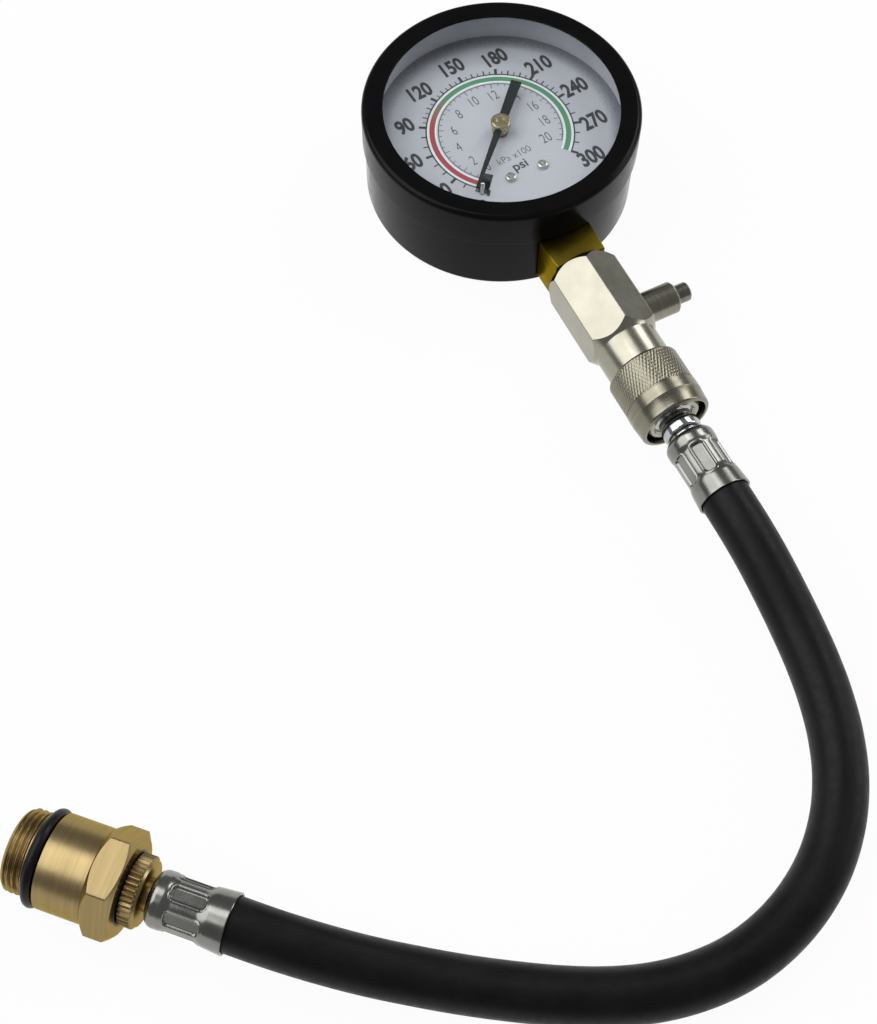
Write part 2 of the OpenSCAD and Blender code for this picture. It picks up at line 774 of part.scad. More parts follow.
module stem_socket() {
    color("darkgoldenrod") difference() {
        union() {
            stem_axis() {
                intersection() {
                    translate([-block_w / 2, -block_w / 2, -block_in_y])
                        cube([block_w, block_w, stem_end + block_in_y]);
                    rotate([0, 0, 45]) cylinder(d1 = block_w * 2, d2 = block_w * sqrt(2) - block_chamfer,
                        h = stem_end);
                }
                translate([0, 0, stem_end - cut]) cylinder(r = spigot_r, h = spigot_len + cut);
            }
            translate([-tongue_w / 2, block_in_y - tongue_root, case_t])
                cube([tongue_w, tongue_far_y - block_in_y + tongue_root, tongue_top - case_t]);
            for (side = [-1, 1]) translate([side * dial_screw_x, dial_screw_y, case_t])
                cylinder(r = post_r, h = dial_z - case_t);
        }
        translate([-block_w, -dial_r - seat_gap, block_in_top])
            cube([2 * block_w, dial_r + block_in_y + cut, block_w]);
        translate([0, 0, stem_z]) rotate(tube_chamber_a - tube_slot_sweep)
            rotate_extrude(angle = tube_slot_sweep) tube_section(seat_gap);
        stem_axis() translate([0, 0, tube_r]) cylinder(r = stem_passage_r, h = stem_end + spigot_len);
        for (side = [-1, 1])
            translate([side * dial_screw_x, dial_screw_y, dial_top - dial_screw_len - cut])
                cylinder(r = dial_screw_r + slide_gap, h = dial_screw_len + 2 * cut);
        for (y = case_screw_y) translate([0, y, case_t - cut])
            cylinder(r = case_screw_r + seat_gap, h = case_screw_end - case_t + 2 * cut);
        for (p = plate_screw_at) translate([p[0], p[1], bottom_plate_z - movement_screw_len + plate_t - cut])
            cylinder(r = movement_screw_r + slide_gap, h = movement_screw_len + cut);
    }
}

// Movement plate with pivot holes for pinion and sector and holes at the given points
module movement_plate(z, points, hole_r) {
    difference() {
        translate([0, 0, z]) rounded_plate(plate_lo, plate_hi, plate_corner_r, plate_t);
        for (p = [[0, 0], sector_at]) translate([p[0], p[1], z - cut])
            cylinder(r = arbor_r + pivot_gap, h = plate_t + 2 * cut);
        for (p = points) translate([p[0], p[1], z - cut]) cylinder(r = hole_r, h = plate_t + 2 * cut);
    }
}

module movement_bottom_plate() {
    color("goldenrod") difference() {
        movement_plate(bottom_plate_z, pillar_at, pillar_spigot_r + seat_gap);
        for (p = plate_screw_at) translate([p[0], p[1], bottom_plate_z - cut])
            cylinder(r = movement_screw_r + slide_gap, h = plate_t + 2 * cut);
    }
}

module movement_top_plate() {
    color("goldenrod") {
        movement_plate(top_plate_z, pillar_at, movement_screw_r + slide_gap);
        translate([0, hairspring_out_r + seat_gap + hairspring_stud_r, hairspring_z])
            cylinder(r = hairspring_stud_r, h = top_plate_z - hairspring_z + plate_t / 2);
    }
}

module movement_pillars() {
    color("gold") for (p = pillar_at) translate([p[0], p[1], pillar_z]) difference() {
        union() {
            cylinder(r = pillar_r, h = plate_gap);
            translate([0, 0, -plate_t]) cylinder(r = pillar_spigot_r, h = plate_t + cut);
        }
        translate([0, 0, plate_gap - movement_screw_len])
            cylinder(r = movement_screw_r + slide_gap, h = movement_screw_len + cut);
    }
}

module movement_screws() {
    color("silver") {
        for (p = pillar_at) translate([p[0], p[1], top_plate_z + plate_t])
            cross_screw(movement_screw_head_r, movement_screw_head_h, movement_screw_r, movement_screw_len);
        for (p = plate_screw_at) translate([p[0], p[1], bottom_plate_z + plate_t])
            cross_screw(movement_screw_head_r, movement_screw_head_h, movement_screw_r, movement_screw_len);
    }
}

module case_screws() {
    slot_depth = 0.6;
    color("silver") for (y = case_screw_y) translate([0, y, 0]) difference() {
        lathe([[0, case_screw_recess], [case_screw_head_r, case_screw_recess],
            [case_screw_r, case_t - seat_gap], [case_screw_r, case_screw_end], [0, case_screw_end]]);
        for (a = [0, 90]) rotate(a) translate([0, 0, case_screw_recess])
            cube([case_screw_head_r * 1.2, 0.7, 2 * slot_depth], center = true);
    }
}

module valve_block() {
    front_edge = 0.5;
    color("lightgray") difference() {
        stem_axis() difference() {
            union() {
                translate([0, 0, stem_end]) rotate(30)
                    hex_bar(hex_af, hex_len, hex_face_r, hex_chamfer_slope);
                lathe([[0, hex_end - cut], [neck_r, hex_end - cut], [neck_r, neck_end],
                    [barrel_r, neck_end], [barrel_r, barrel_end - front_edge],
                    [barrel_r - front_edge, barrel_end], [0, barrel_end]]);
            }
            translate([0, 0, stem_end - cut]) cylinder(r = spigot_r + seat_gap, h = spigot_len + 2 * cut);
            translate([0, 0, stem_end]) cylinder(r = passage_r, h = socket_s);
            translate([0, 0, socket_s]) cylinder(r = socket_r, h = barrel_end);
            translate([0, 0, barrel_end - front_edge])
                cylinder(r1 = socket_r, r2 = socket_r + 2 * front_edge, h = 2 * front_edge);
            translate([0, 0, ring_s - seat_gap])
                ring(barrel_r + cut, ring_in_r - seat_gap, ring_t + 2 * seat_gap);
            for (i = [0:ball_count - 1]) rotate(i * 360 / ball_count)
                translate([socket_r - 2 * cut, 0, ball_s]) rotate([0, 90, 0])
                    cylinder(r = ball_r + seat_gap, h = barrel_r - socket_r + 3 * cut, $fn = 48);
        }
        release_axis() cylinder(r = release_chamber_r, h = release_reach);
        release_axis() translate([0, 0, release_spigot_x - seat_gap])
            cylinder(r = release_spigot_r + seat_gap, h = release_reach);
    }
}

module release_valve_housing() {
    flange_x = hex_af / 2;
    outer_r = release_d / 2;
    color("lightgray") release_axis() difference() {
        lathe([[0, release_spigot_x], [release_spigot_r, release_spigot_x], [release_spigot_r, flange_x],
            [outer_r, flange_x], [outer_r, release_reach - release_chamfer],
            [outer_r - release_chamfer, release_reach], [0, release_reach]]);
        translate([0, 0, release_spigot_x - cut])
            cylinder(r = release_chamber_r, h = release_seat_x - release_spigot_x + cut);
        cylinder(r = release_stem_hole_r, h = release_reach);
        translate([0, 0, release_shelf_x]) cylinder(r = release_guide_r, h = release_reach);
    }
}

module release_button() {
    head_r = button_d / 2;
    disc_top = release_seat_x - seat_gap - release_seal_t;
    disc_x = disc_top - button_disc_t;
    color("gray") release_axis() lathe([[0, disc_x], [button_disc_r, disc_x], [button_disc_r, disc_top],
        [button_stem_r, disc_top], [button_stem_r, button_head_x], [head_r, button_head_x],
        [head_r, button_reach - button_edge], [head_r - button_edge, button_reach], [0, button_reach]]);
}

module release_seal() {
    color("black") release_axis() translate([0, 0, release_seat_x - seat_gap - release_seal_t])
        ring(button_disc_r, button_stem_r + seat_gap, release_seal_t);
}

module release_spring() {
    color("silver") release_axis()
        coil(release_coil_r, release_wire_r, release_shelf_x + seat_gap, button_head_x - seat_gap,
            release_coil_turns);
}

module coupler_sleeve() {
    knurl_r = sleeve_r - sleeve_knurl_drop;
    groove_end = sleeve_groove_s + sleeve_groove_w;
    groove_floor = sleeve_r - sleeve_groove_depth;
    rib_end = rib_s + rib_len;
    color("lightgray") stem_axis() lathe(concat([[sleeve_in_r, sleeve_s]],
        arc([knurl_r - sleeve_start_round, sleeve_s + sleeve_start_round], sleeve_start_round, -60, 0),
        [[knurl_r, sleeve_groove_s], [groove_floor, sleeve_groove_s], [groove_floor, groove_end],
        [sleeve_r, groove_end], [sleeve_r, sleeve_end - 1.6 * sleeve_end_chamfer],
        [sleeve_r - 0.6 * sleeve_end_chamfer, sleeve_end], [recess_r, sleeve_end], [recess_r, rib_end],
        [rib_r, rib_end], [rib_r, rib_s], [sleeve_in_r, rib_s]]));
}

module sleeve_spring() {
    color("silver") stem_axis()
        coil(sleeve_coil_r, sleeve_wire_r, neck_end + seat_gap, rib_s - seat_gap, sleeve_coil_turns);
}

module locking_balls() {
    color("silver") stem_axis() for (i = [0:ball_count - 1])
        rotate(i * 360 / ball_count) translate([ball_at_r, 0, ball_s]) sphere(ball_r, $fn = 48);
}

module sleeve_retaining_ring() {
    color("silver") stem_axis() translate([0, 0, ring_s]) difference() {
        ring(ring_out_r, ring_in_r, ring_t);
        translate([0, -ring_out_r, ring_t / 2]) cube([ring_gap_w, ring_out_r, 2 * ring_t], center = true);
    }
}

module socket_seal() {
    color("black") stem_axis() translate([0, 0, seal_s])
        o_ring(socket_r - seat_gap - seal_minor_r, seal_minor_r);
}

// Barbed tail inside the hose, from its first station to the end of the ferrule
function barb_rows(first, last) =
    let (barbs = 3, pitch = (last - first - 3) / barbs)
    [for (i = [0:barbs - 1]) let (z = first + 2 + i * pitch) each
        [[barb_r, z], [barb_ring_r, z + pitch * 0.25], [barb_r - 0.15, z + pitch]]];

module quick_plug() {
    neck_s = barrel_end - 0.6;
    collar_end_s = plug_collar_s + plug_collar_len;
    collar_round = 0.7;
    barb_end = ferrule_s + ferrule_len - 2;
    color("silver") stem_axis() difference() {
        lathe(concat([[0, plug_nose_s], [plug_nose_r - 0.3, plug_nose_s], [plug_nose_r, plug_nose_s + 0.6],
            [plug_nose_r, plug_body_s], [plug_r - 0.4, plug_body_s], [plug_r, plug_body_s + 0.6],
            [plug_r, ball_s - plug_groove_half], [plug_groove_r, ball_s - plug_groove_floor],
            [plug_groove_r, ball_s + plug_groove_floor], [plug_r, ball_s + plug_groove_half],
            [plug_r, neck_s], [plug_neck_r, neck_s + 0.4], [plug_neck_r, plug_collar_s]],
            arc([plug_collar_r - collar_round, plug_collar_s + collar_round], collar_round, -90, 0),
            arc([plug_collar_r - collar_round, collar_end_s - collar_round], collar_round, 0, 90),
            [[ferrule_grip_r, collar_end_s], [ferrule_grip_r, ferrule_s + ferrule_wall_end + 0.3]],
            barb_rows(ferrule_s + ferrule_wall_end, barb_end), [[0, barb_end - 1]]));
        translate([0, 0, plug_nose_s - cut]) cylinder(r = plug_bore_r, h = barb_end);
    }
}

// Crimped ferrule from its rolled shoulder at z = 0 to its flared mouth, its flutes turned by an angle
module ferrule(turn) {
    flute_mid = (flute_start + flute_end) / 2;
    difference() {
        lathe(concat([[ferrule_neck_r, 0]],
            arc([shoulder_r - shoulder_round, shoulder_round], shoulder_round, -90, 0),
            [[shoulder_r, shoulder_end], [ridge_r, flute_start], [ridge_r, flute_end],
            [flare_r - 0.35, flare_start], [flare_r, ferrule_len], [mouth_r, ferrule_len],
            [mouth_r, ferrule_len - 1], [ferrule_in_r, flute_end], [ferrule_in_r, ferrule_wall_end],
            [ferrule_neck_r, ferrule_wall_end]]));
        for (i = [0:flutes - 1]) rotate(turn + i * 360 / flutes) translate([flute_flat_r, 0, flute_mid])
            rotate([0, 90, 0]) linear_extrude(2) slot_shape(flute_end - flute_start + 1, flute_w);
    }
}

module gauge_ferrule() {
    color("gray") stem_axis() translate([0, 0, ferrule_s]) ferrule(gauge_ferrule_turn);
}

module adapter_ferrule() {
    color("gray") adapter_axis() translate([0, 0, ferrule_t]) ferrule(adapter_ferrule_turn);
}

module hose() {
    path = spline(hose_route, hose_steps);
    rings = len(path);
    outer = [for (i = [0:rings - 1]) each ring_points(path, i, hose_radius(path[i]), hose_sides)];
    inner = [for (i = [0:rings - 1]) each ring_points(path, i, hose_bore / 2, hose_sides)];
    inner_first = rings * hose_sides;
    outer_last = (rings - 1) * hose_sides;
    color("black") polyhedron(concat(outer, inner), concat(
        wall_faces(rings, hose_sides, 0, true),
        wall_faces(rings, hose_sides, inner_first, false),
        end_faces(hose_sides, 0, inner_first, true),
        end_faces(hose_sides, outer_last, inner_first + outer_last, false)));
}

module end_fitting() {
    barb_end = ferrule_t + ferrule_len - 2;
    color("goldenrod") adapter_axis() difference() {
        union() {
            intersection() {
                translate([0, 0, collar_t]) linear_extrude(collar_len) difference() {
                    circle(collar_r);
                    for (i = [0:knurl_count - 1]) rotate(i * 360 / knurl_count) translate([collar_r, 0])
                        rotate(45) square(knurl_size, center = true);
                }
                lathe([[0, collar_t], [collar_r - collar_chamfer, collar_t],
                    [collar_r, collar_t + collar_chamfer], [collar_r, collar_end - collar_chamfer],
                    [collar_r - collar_chamfer, collar_end], [0, collar_end]]);
            }
            translate([0, 0, fitting_t]) cylinder(r = spigot_m14_r, h = collar_t - fitting_t + cut);
            lathe(concat([[0, collar_end - cut], [ferrule_grip_r, collar_end - cut],
                [ferrule_grip_r, ferrule_t + ferrule_wall_end + 0.3]],
                barb_rows(ferrule_t + ferrule_wall_end, barb_end), [[0, barb_end - 1]]));
        }
        translate([0, 0, fitting_t - cut]) cylinder(r = core_r + seat_gap, h = core_bore_len + cut);
        translate([0, 0, fitting_t]) cylinder(r = plug_bore_r, h = barb_end);
    }
}

module end_fitting_o_ring() {
    color("black") adapter_axis() translate([0, 0, collar_t - fitting_ring_minor_r - seat_gap])
        o_ring(spigot_m14_r + seat_gap + fitting_ring_minor_r, fitting_ring_minor_r);
}

module thread_adapter() {
    color("goldenrod") adapter_axis() difference() {
        union() {
            lathe([[0, 0], [thread_r - thread_chamfer, 0], [thread_r, thread_chamfer], [thread_r, thread_len],
                [groove_r, thread_len], [groove_r, body_t], [body_r - 0.3, body_t], [body_r, body_t + 0.3],
                [body_r, adapter_hex_t + cut], [0, adapter_hex_t + cut]]);
            translate([0, 0, adapter_hex_t])
                hex_bar(adapter_af, adapter_hex_len, adapter_af / sqrt(3) - adapter_hex_chamfer, 1);
        }
        translate([0, 0, -cut]) cylinder(r = gas_r, h = adapter_end);
        translate([0, 0, female_t]) cylinder(r = female_r, h = adapter_end);
        translate([0, 0, adapter_end - counterbore_depth]) cylinder(r = counterbore_r, h = adapter_end);
    }
}

module adapter_o_ring() {
    color("black") adapter_axis() translate([0, 0, thread_len + groove_w / 2])
        o_ring(groove_r + seat_gap + ring_minor_r, ring_minor_r);
}

module check_valve_body() {
    color("goldenrod") adapter_axis() translate([0, 0, core_t]) difference() {
        cylinder(r = core_r, h = core_len);
        translate([0, 0, -cut]) cylinder(r = core_chamber_r, h = core_chamber_len + cut, $fn = 48);
        cylinder(r = core_hole_r, h = core_len + cut, $fn = 48);
    }
}

module check_valve_pin() {
    flange_t = core_t + 0.1;
    disc_t = core_t + core_len + core_seal_t + 2 * seat_gap;
    color("silver") adapter_axis() lathe([[0, pin_start], [pin_r, pin_start], [pin_r, flange_t],
        [pin_flange_r, flange_t], [pin_flange_r, flange_t + pin_flange_t], [pin_r, flange_t + pin_flange_t],
        [pin_r, disc_t], [pin_flange_r, disc_t], [pin_flange_r, disc_t + pin_disc_t],
        [0, disc_t + pin_disc_t]]);
}

module check_valve_seal() {
    color("black") adapter_axis() translate([0, 0, core_t + core_len + seat_gap])
        ring(pin_flange_r, pin_r + seat_gap, core_seal_t);
}

module check_valve_spring() {
    color("silver") adapter_axis() coil(core_coil_r, core_wire_r, core_t + 0.1 + pin_flange_t + seat_gap,
        core_t + core_chamber_len - seat_gap, core_coil_turns);
}

case();
bezel();
lens();
dial_spacer_ring();
dial_plate();
dial_screws();
stop_pin();
pointer();
pointer_hub();
pinion();
hairspring();
sector_gear();
movement_link();
tube_tip();
bourdon_tube();
stem_socket();
movement_bottom_plate();
movement_top_plate();
movement_pillars();
movement_screws();
case_screws();
valve_block();
release_valve_housing();
release_button();
release_seal();
release_spring();
coupler_sleeve();
sleeve_spring();
locking_balls();
sleeve_retaining_ring();
socket_seal();
quick_plug();
gauge_ferrule();
hose();
adapter_ferrule();
end_fitting();
end_fitting_o_ring();
thread_adapter();
adapter_o_ring();
check_valve_body();
check_valve_pin();
check_valve_seal();
check_valve_spring();
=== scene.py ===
"""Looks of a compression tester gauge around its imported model.

The scene is in metres. Profiles, stations and radii are millimetres along each piece's own axis, and
MM turns them into metres where a mesh is made.
"""

import json
import math

import bmesh
import bpy
from mathutils import Matrix, Vector


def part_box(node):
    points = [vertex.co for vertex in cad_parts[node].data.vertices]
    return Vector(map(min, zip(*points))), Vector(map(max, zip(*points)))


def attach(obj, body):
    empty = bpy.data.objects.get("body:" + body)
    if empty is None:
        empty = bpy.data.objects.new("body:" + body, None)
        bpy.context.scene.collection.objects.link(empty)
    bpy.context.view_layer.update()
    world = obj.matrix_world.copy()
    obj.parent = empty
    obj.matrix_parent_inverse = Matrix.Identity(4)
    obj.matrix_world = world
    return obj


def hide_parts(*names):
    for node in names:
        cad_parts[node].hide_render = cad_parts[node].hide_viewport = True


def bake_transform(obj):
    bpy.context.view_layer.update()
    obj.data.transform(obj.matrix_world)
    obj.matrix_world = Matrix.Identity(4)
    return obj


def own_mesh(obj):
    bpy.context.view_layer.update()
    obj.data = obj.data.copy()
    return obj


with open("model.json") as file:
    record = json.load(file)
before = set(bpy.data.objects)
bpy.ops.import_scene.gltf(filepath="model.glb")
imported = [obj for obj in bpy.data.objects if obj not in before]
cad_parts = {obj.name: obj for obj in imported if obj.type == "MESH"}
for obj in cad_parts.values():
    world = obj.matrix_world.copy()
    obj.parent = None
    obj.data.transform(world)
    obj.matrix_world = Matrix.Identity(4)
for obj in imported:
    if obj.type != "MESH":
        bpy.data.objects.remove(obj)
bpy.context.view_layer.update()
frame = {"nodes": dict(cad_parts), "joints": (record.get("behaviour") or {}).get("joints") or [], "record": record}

MM = 0.001
TAU = 2 * math.pi
AXIS_R = 0.01
scene = bpy.context.scene


# Places in the frame

def span(node, axis):
    """Lowest and highest millimetre of a node along X, Y or Z, given as 0, 1 or 2."""
    low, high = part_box(node)
    return low[axis] / MM, high[axis] / MM


def joint(name):
    return next(j for j in frame["joints"] if j["name"] == name)


def mount(name):
    return next(m for m in frame["record"]["mounts"] if m["name"] == name)


def level_axis(origin, direction):
    """Place whose local Z runs along a level direction, with local Y up; origin in millimetres."""
    along = Vector(direction).normalized()
    up = Vector((0, 0, 1))
    place = Matrix((up.cross(along), up, along)).transposed().to_4x4()
    place.translation = Vector(origin)
    return place


stem_z = joint("hose_swivel")["pos_m"][2] / MM
release_s = -sum(span("release_valve_housing", 1)) / 2
thread_mount = mount("spark_plug_thread")
thread_mid = 2.9
adapter_dir = -Vector(thread_mount["axis"])
adapter_start = Vector(thread_mount["pos_m"]) / MM - adapter_dir * thread_mid

UPRIGHT = Matrix.Identity(4)
STEM = level_axis((0, 0, stem_z), (0, -1, 0))
RELEASE = level_axis((0, -release_s, stem_z), (1, 0, 0))
ADAPTER = level_axis(adapter_start, adapter_dir)


# Materials

class Finish:
    """A procedural material: a Principled shader with textures in object coordinates."""

    def __init__(self, name, color, roughness, metallic=0.0):
        self.material = bpy.data.materials.new(name)
        self.material.use_nodes = True
        self.nodes = self.material.node_tree.nodes
        self.links = self.material.node_tree.links
        self.shader = self.nodes["Principled BSDF"]
        self.coords = self.nodes.new("ShaderNodeTexCoord").outputs["Object"]
        self.normal = None
        self.set("Base Color", (*color, 1))
        self.set("Roughness", roughness)
        self.set("Metallic", metallic)

    def set(self, socket, value):
        self.shader.inputs[socket].default_value = value
        return self

    def noise(self, scale, detail=3.0, turn=0.0):
        """Noise over the surface: counts per metre, one or one for each axis after a turn about Z."""
        mapping = self.nodes.new("ShaderNodeMapping")
        mapping.vector_type = "TEXTURE"
        mapping.inputs["Rotation"].default_value = (0, 0, -turn)
        counts = scale if isinstance(scale, tuple) else (scale,) * 3
        mapping.inputs["Scale"].default_value = tuple(1 / c for c in counts)
        self.links.new(self.coords, mapping.inputs["Vector"])
        texture = self.nodes.new("ShaderNodeTexNoise")
        texture.inputs["Scale"].default_value = 1
        texture.inputs["Detail"].default_value = detail
        self.links.new(mapping.outputs["Vector"], texture.inputs["Vector"])
        return texture.outputs["Fac"]

    def vary_color(self, source, low, high, start=0.3, end=0.7):
        ramp = self.nodes.new("ShaderNodeValToRGB")
        ramp.color_ramp.elements[0].position = start
        ramp.color_ramp.elements[0].color = (*low, 1)
        ramp.color_ramp.elements[1].position = end
        ramp.color_ramp.elements[1].color = (*high, 1)
        self.links.new(source, ramp.inputs["Fac"])
        self.links.new(ramp.outputs["Color"], self.shader.inputs["Base Color"])
        return self

    def vary_roughness(self, source, low, high):
        spread = self.nodes.new("ShaderNodeMapRange")
        spread.inputs["From Min"].default_value = 0.3
        spread.inputs["From Max"].default_value = 0.7
        spread.inputs["To Min"].default_value = low
        spread.inputs["To Max"].default_value = high
        self.links.new(source, spread.inputs["Value"])
        self.links.new(spread.outputs["Result"], self.shader.inputs["Roughness"])
        return self

    def bump(self, source, height):
        """Relief of the given height in metres, laid over any relief made before."""
        relief = self.nodes.new("ShaderNodeBump")
        relief.inputs["Strength"].default_value = 1
        relief.inputs["Distance"].default_value = height
        self.links.new(source, relief.inputs["Height"])
        if self.normal:
            self.links.new(self.normal, relief.inputs["Normal"])
        self.normal = relief.outputs["Normal"]
        self.links.new(self.normal, self.shader.inputs["Normal"])
        return self


def paint(name, color, light, roughness, grain, sheen):
    """Black paint with a fine orange peel and a faint uneven gloss."""
    finish = Finish(name, color, roughness)
    finish.set("Specular IOR Level", sheen)
    finish.vary_color(finish.noise(90), color, light)
    finish.vary_roughness(finish.noise(260), roughness - 0.06, roughness + 0.08)
    finish.bump(finish.noise(grain, 2), 0.000012)
    return finish.material


def turned_metal(name, dark, light, roughness, turn, edge_tint=(1, 1, 1)):
    """Metal turned on a lathe: fine lines round the axis, which lies along X after the turn about Z."""
    finish = Finish(name, light, roughness, 1.0)
    finish.set("Specular Tint", (*edge_tint, 1))
    finish.vary_color(finish.noise((1700, 50, 50), 3, turn), dark, light)
    finish.vary_roughness(finish.noise((2200, 60, 60), 3, turn), roughness - 0.03, roughness + 0.04)
    finish.bump(finish.noise((4200, 90, 90), 2, turn), 0.000002)
    return finish.material


def plated(name, dark, light, roughness, grain=2600, edge_tint=(1, 1, 1)):
    """Plated metal: a soft satin grain and a faint cloudy tone."""
    finish = Finish(name, light, roughness, 1.0)
    finish.set("Specular Tint", (*edge_tint, 1))
    finish.vary_color(finish.noise(160, 5), dark, light)
    finish.vary_roughness(finish.noise(420, 4), roughness - 0.025, roughness + 0.03)
    finish.bump(finish.noise(grain, 3), 0.000003)
    return finish.material


def rubber(name, color, light, roughness, grain):
    """Black rubber: fine matt grain and a faint dusty tone."""
    finish = Finish(name, color, roughness)
    finish.vary_color(finish.noise(120, 5), color, light)
    finish.vary_roughness(finish.noise(500, 3), roughness - 0.06, roughness + 0.08)
    finish.bump(finish.noise(grain, 3), 0.00002)
    finish.set("Specular IOR Level", 0.17)
    return finish.material


def ink(name, color, roughness=0.5):
    """Printed ink with a faintly uneven cover."""
    finish = Finish(name, color, roughness)
    light = tuple(c * 1.12 + 0.012 for c in color)
    finish.vary_color(finish.noise(1800, 2), color, light)
    return finish.material


def enamel(name, low, high):
    """Matt pale enamel."""
    finish = Finish(name, high, 0.55)
    finish.vary_color(finish.noise(140, 4), low, high)
    finish.bump(finish.noise(3800, 2), 0.000005)
    return finish.material


def dial_enamel(name, low, high):
    """Matt pale enamel of the dial, with a dotted painted shadow of the bezel that deepens towards the rim."""
    shadow_darkest_radius, shadow_clear_radius = 0.0324, 0.0245
    finish = Finish(name, high, 0.55)
    level = finish.nodes.new("ShaderNodeVectorMath")
    level.operation = "MULTIPLY"
    level.inputs[1].default_value = (1, 1, 0)
    finish.links.new(finish.coords, level.inputs[0])
    reach = finish.nodes.new("ShaderNodeVectorMath")
    reach.operation = "LENGTH"
    finish.links.new(level.outputs["Vector"], reach.inputs[0])
    # Painted shadow of the bezel: from the clear radius out to the rim the colour falls to the low, shadowed tone,
    # speckled with dots.
    painted_shadow = finish.nodes.new("ShaderNodeMapRange")
    painted_shadow.interpolation_type = "SMOOTHERSTEP"
    painted_shadow.inputs["From Min"].default_value = shadow_darkest_radius
    painted_shadow.inputs["From Max"].default_value = shadow_clear_radius
    finish.links.new(reach.outputs["Value"], painted_shadow.inputs["Value"])
    painted_shadow_dots = finish.nodes.new("ShaderNodeMath")
    painted_shadow_dots.operation = "MULTIPLY_ADD"
    painted_shadow_dots.inputs[1].default_value = 0.5
    finish.links.new(finish.noise(2600, 1), painted_shadow_dots.inputs[0])
    finish.links.new(painted_shadow.outputs["Result"], painted_shadow_dots.inputs[2])
    finish.vary_color(painted_shadow_dots.outputs[0], low, high, 0.25, 1.15)
    return finish.material


def clear_glass(name):
    finish = Finish(name, (0.97, 0.985, 0.99), 0.02)
    finish.set("Transmission Weight", 1.0)
    finish.set("IOR", 1.45)
    finish.vary_roughness(finish.noise(200, 2), 0.015, 0.03)
    return finish.material


STEM_TURN = math.pi / 2
ADAPTER_TURN = -math.atan2(adapter_dir.y, adapter_dir.x)
RELEASE_TURN = 0.0
BRASS_EDGE = (0.82, 0.70, 0.42)

M = {
    "case_black": paint("case_paint", (0.0025, 0.0025, 0.003), (0.004, 0.004, 0.0045), 0.16, 1500, 0.08),
    "bezel_black": paint("bezel_paint", (0.0035, 0.0035, 0.004), (0.005, 0.005, 0.0055), 0.2, 2400, 0.09),
    "lens_glass": clear_glass("lens_clear"),
    "ring_white": enamel("ring_pale", (0.40, 0.41, 0.45), (0.46, 0.47, 0.51)),
    # The dial's low colour is a painted shadow of the bezel near its rim.
    "dial_white": dial_enamel("dial_pale_painted_shadow", (0.125, 0.135, 0.155), (0.445, 0.46, 0.50)),
    "screw_steel": plated("bright_zinc", (0.60, 0.60, 0.56), (0.78, 0.78, 0.73), 0.26),
    "pointer_black": paint("pointer_paint", (0.007, 0.010, 0.010), (0.012, 0.015, 0.015), 0.55, 3200, 0.12),
    "hub_brass": plated("hub_pale_brass", (0.36, 0.32, 0.18), (0.50, 0.45, 0.28), 0.28),
    "movement_brass": plated("movement_plain_brass", (0.40, 0.27, 0.09), (0.54, 0.38, 0.15), 0.3),
    "spring_steel": plated("bright_spring", (0.30, 0.31, 0.33), (0.46, 0.47, 0.49), 0.25),
    "stem_brass": plated("stem_drawn_brass", (0.17, 0.12, 0.013), (0.23, 0.168, 0.019), 0.32, 1800,
                         BRASS_EDGE),
    "nickel_plate": plated("satin_nickel", (0.335, 0.32, 0.256), (0.375, 0.36, 0.295), 0.24),
    "button_steel": turned_metal("button_turned", (0.19, 0.18, 0.155), (0.26, 0.245, 0.215), 0.26,
                                 RELEASE_TURN),
    "seal_rubber": rubber("seal_black", (0.005, 0.005, 0.005), (0.010, 0.010, 0.010), 0.34, 2400),
    "plug_chrome": plated("polished_chrome", (0.42, 0.43, 0.44), (0.52, 0.53, 0.54), 0.12, 900),
    "ferrule_steel": plated("pressed_steel", (0.20, 0.20, 0.185), (0.28, 0.28, 0.26), 0.22, 900),
    "hose_rubber": rubber("hose_black", (0.004, 0.004, 0.0045), (0.008, 0.008, 0.0085), 0.42, 1500),
    "adapter_brass": turned_metal("adapter_turned", (0.30, 0.222, 0.102), (0.355, 0.27, 0.135), 0.32,
                                  ADAPTER_TURN, BRASS_EDGE),
    "release_nickel": turned_metal("release_turned", (0.245, 0.23, 0.18), (0.30, 0.285, 0.23), 0.27,
                                   RELEASE_TURN),
    "sleeve_nickel": turned_metal("sleeve_turned", (0.215, 0.202, 0.152), (0.26, 0.248, 0.193), 0.26,
                                  STEM_TURN),
}

for row in frame["record"]["subparts"]:
    node_mesh = frame["nodes"][row["node"]].data
    node_mesh.materials.clear()
    node_mesh.materials.append(M[row["material_slot"]])


# Mesh building

def soften(points, radius, steps=3):
    """Closed outline with every corner rounded, as far as its edges allow, and its flats held level."""
    straight = math.radians(8)
    edge_share = 0.45
    hold_share = 0.04
    out = []
    for i, point in enumerate(points):
        here = Vector(point)
        before = Vector(points[i - 1]) - here
        after = Vector(points[(i + 1) % len(points)]) - here
        bend = before.angle(-after)
        if bend < straight:
            out.append(point)
            continue
        reach = min(radius * math.tan(bend / 2), edge_share * before.length, edge_share * after.length)
        start = here + before.normalized() * reach
        end = here + after.normalized() * reach
        hold = hold_share * min(before.length, after.length, 1)
        spots = [start + before.normalized() * hold]
        for k in range(steps + 1):
            u = k / steps
            spots.append(start.lerp(here, u).lerp(here.lerp(end, u), u))
        spots.append(end + after.normalized() * hold)
        out += [(spot.x, spot.y) for spot in spots]
    return out


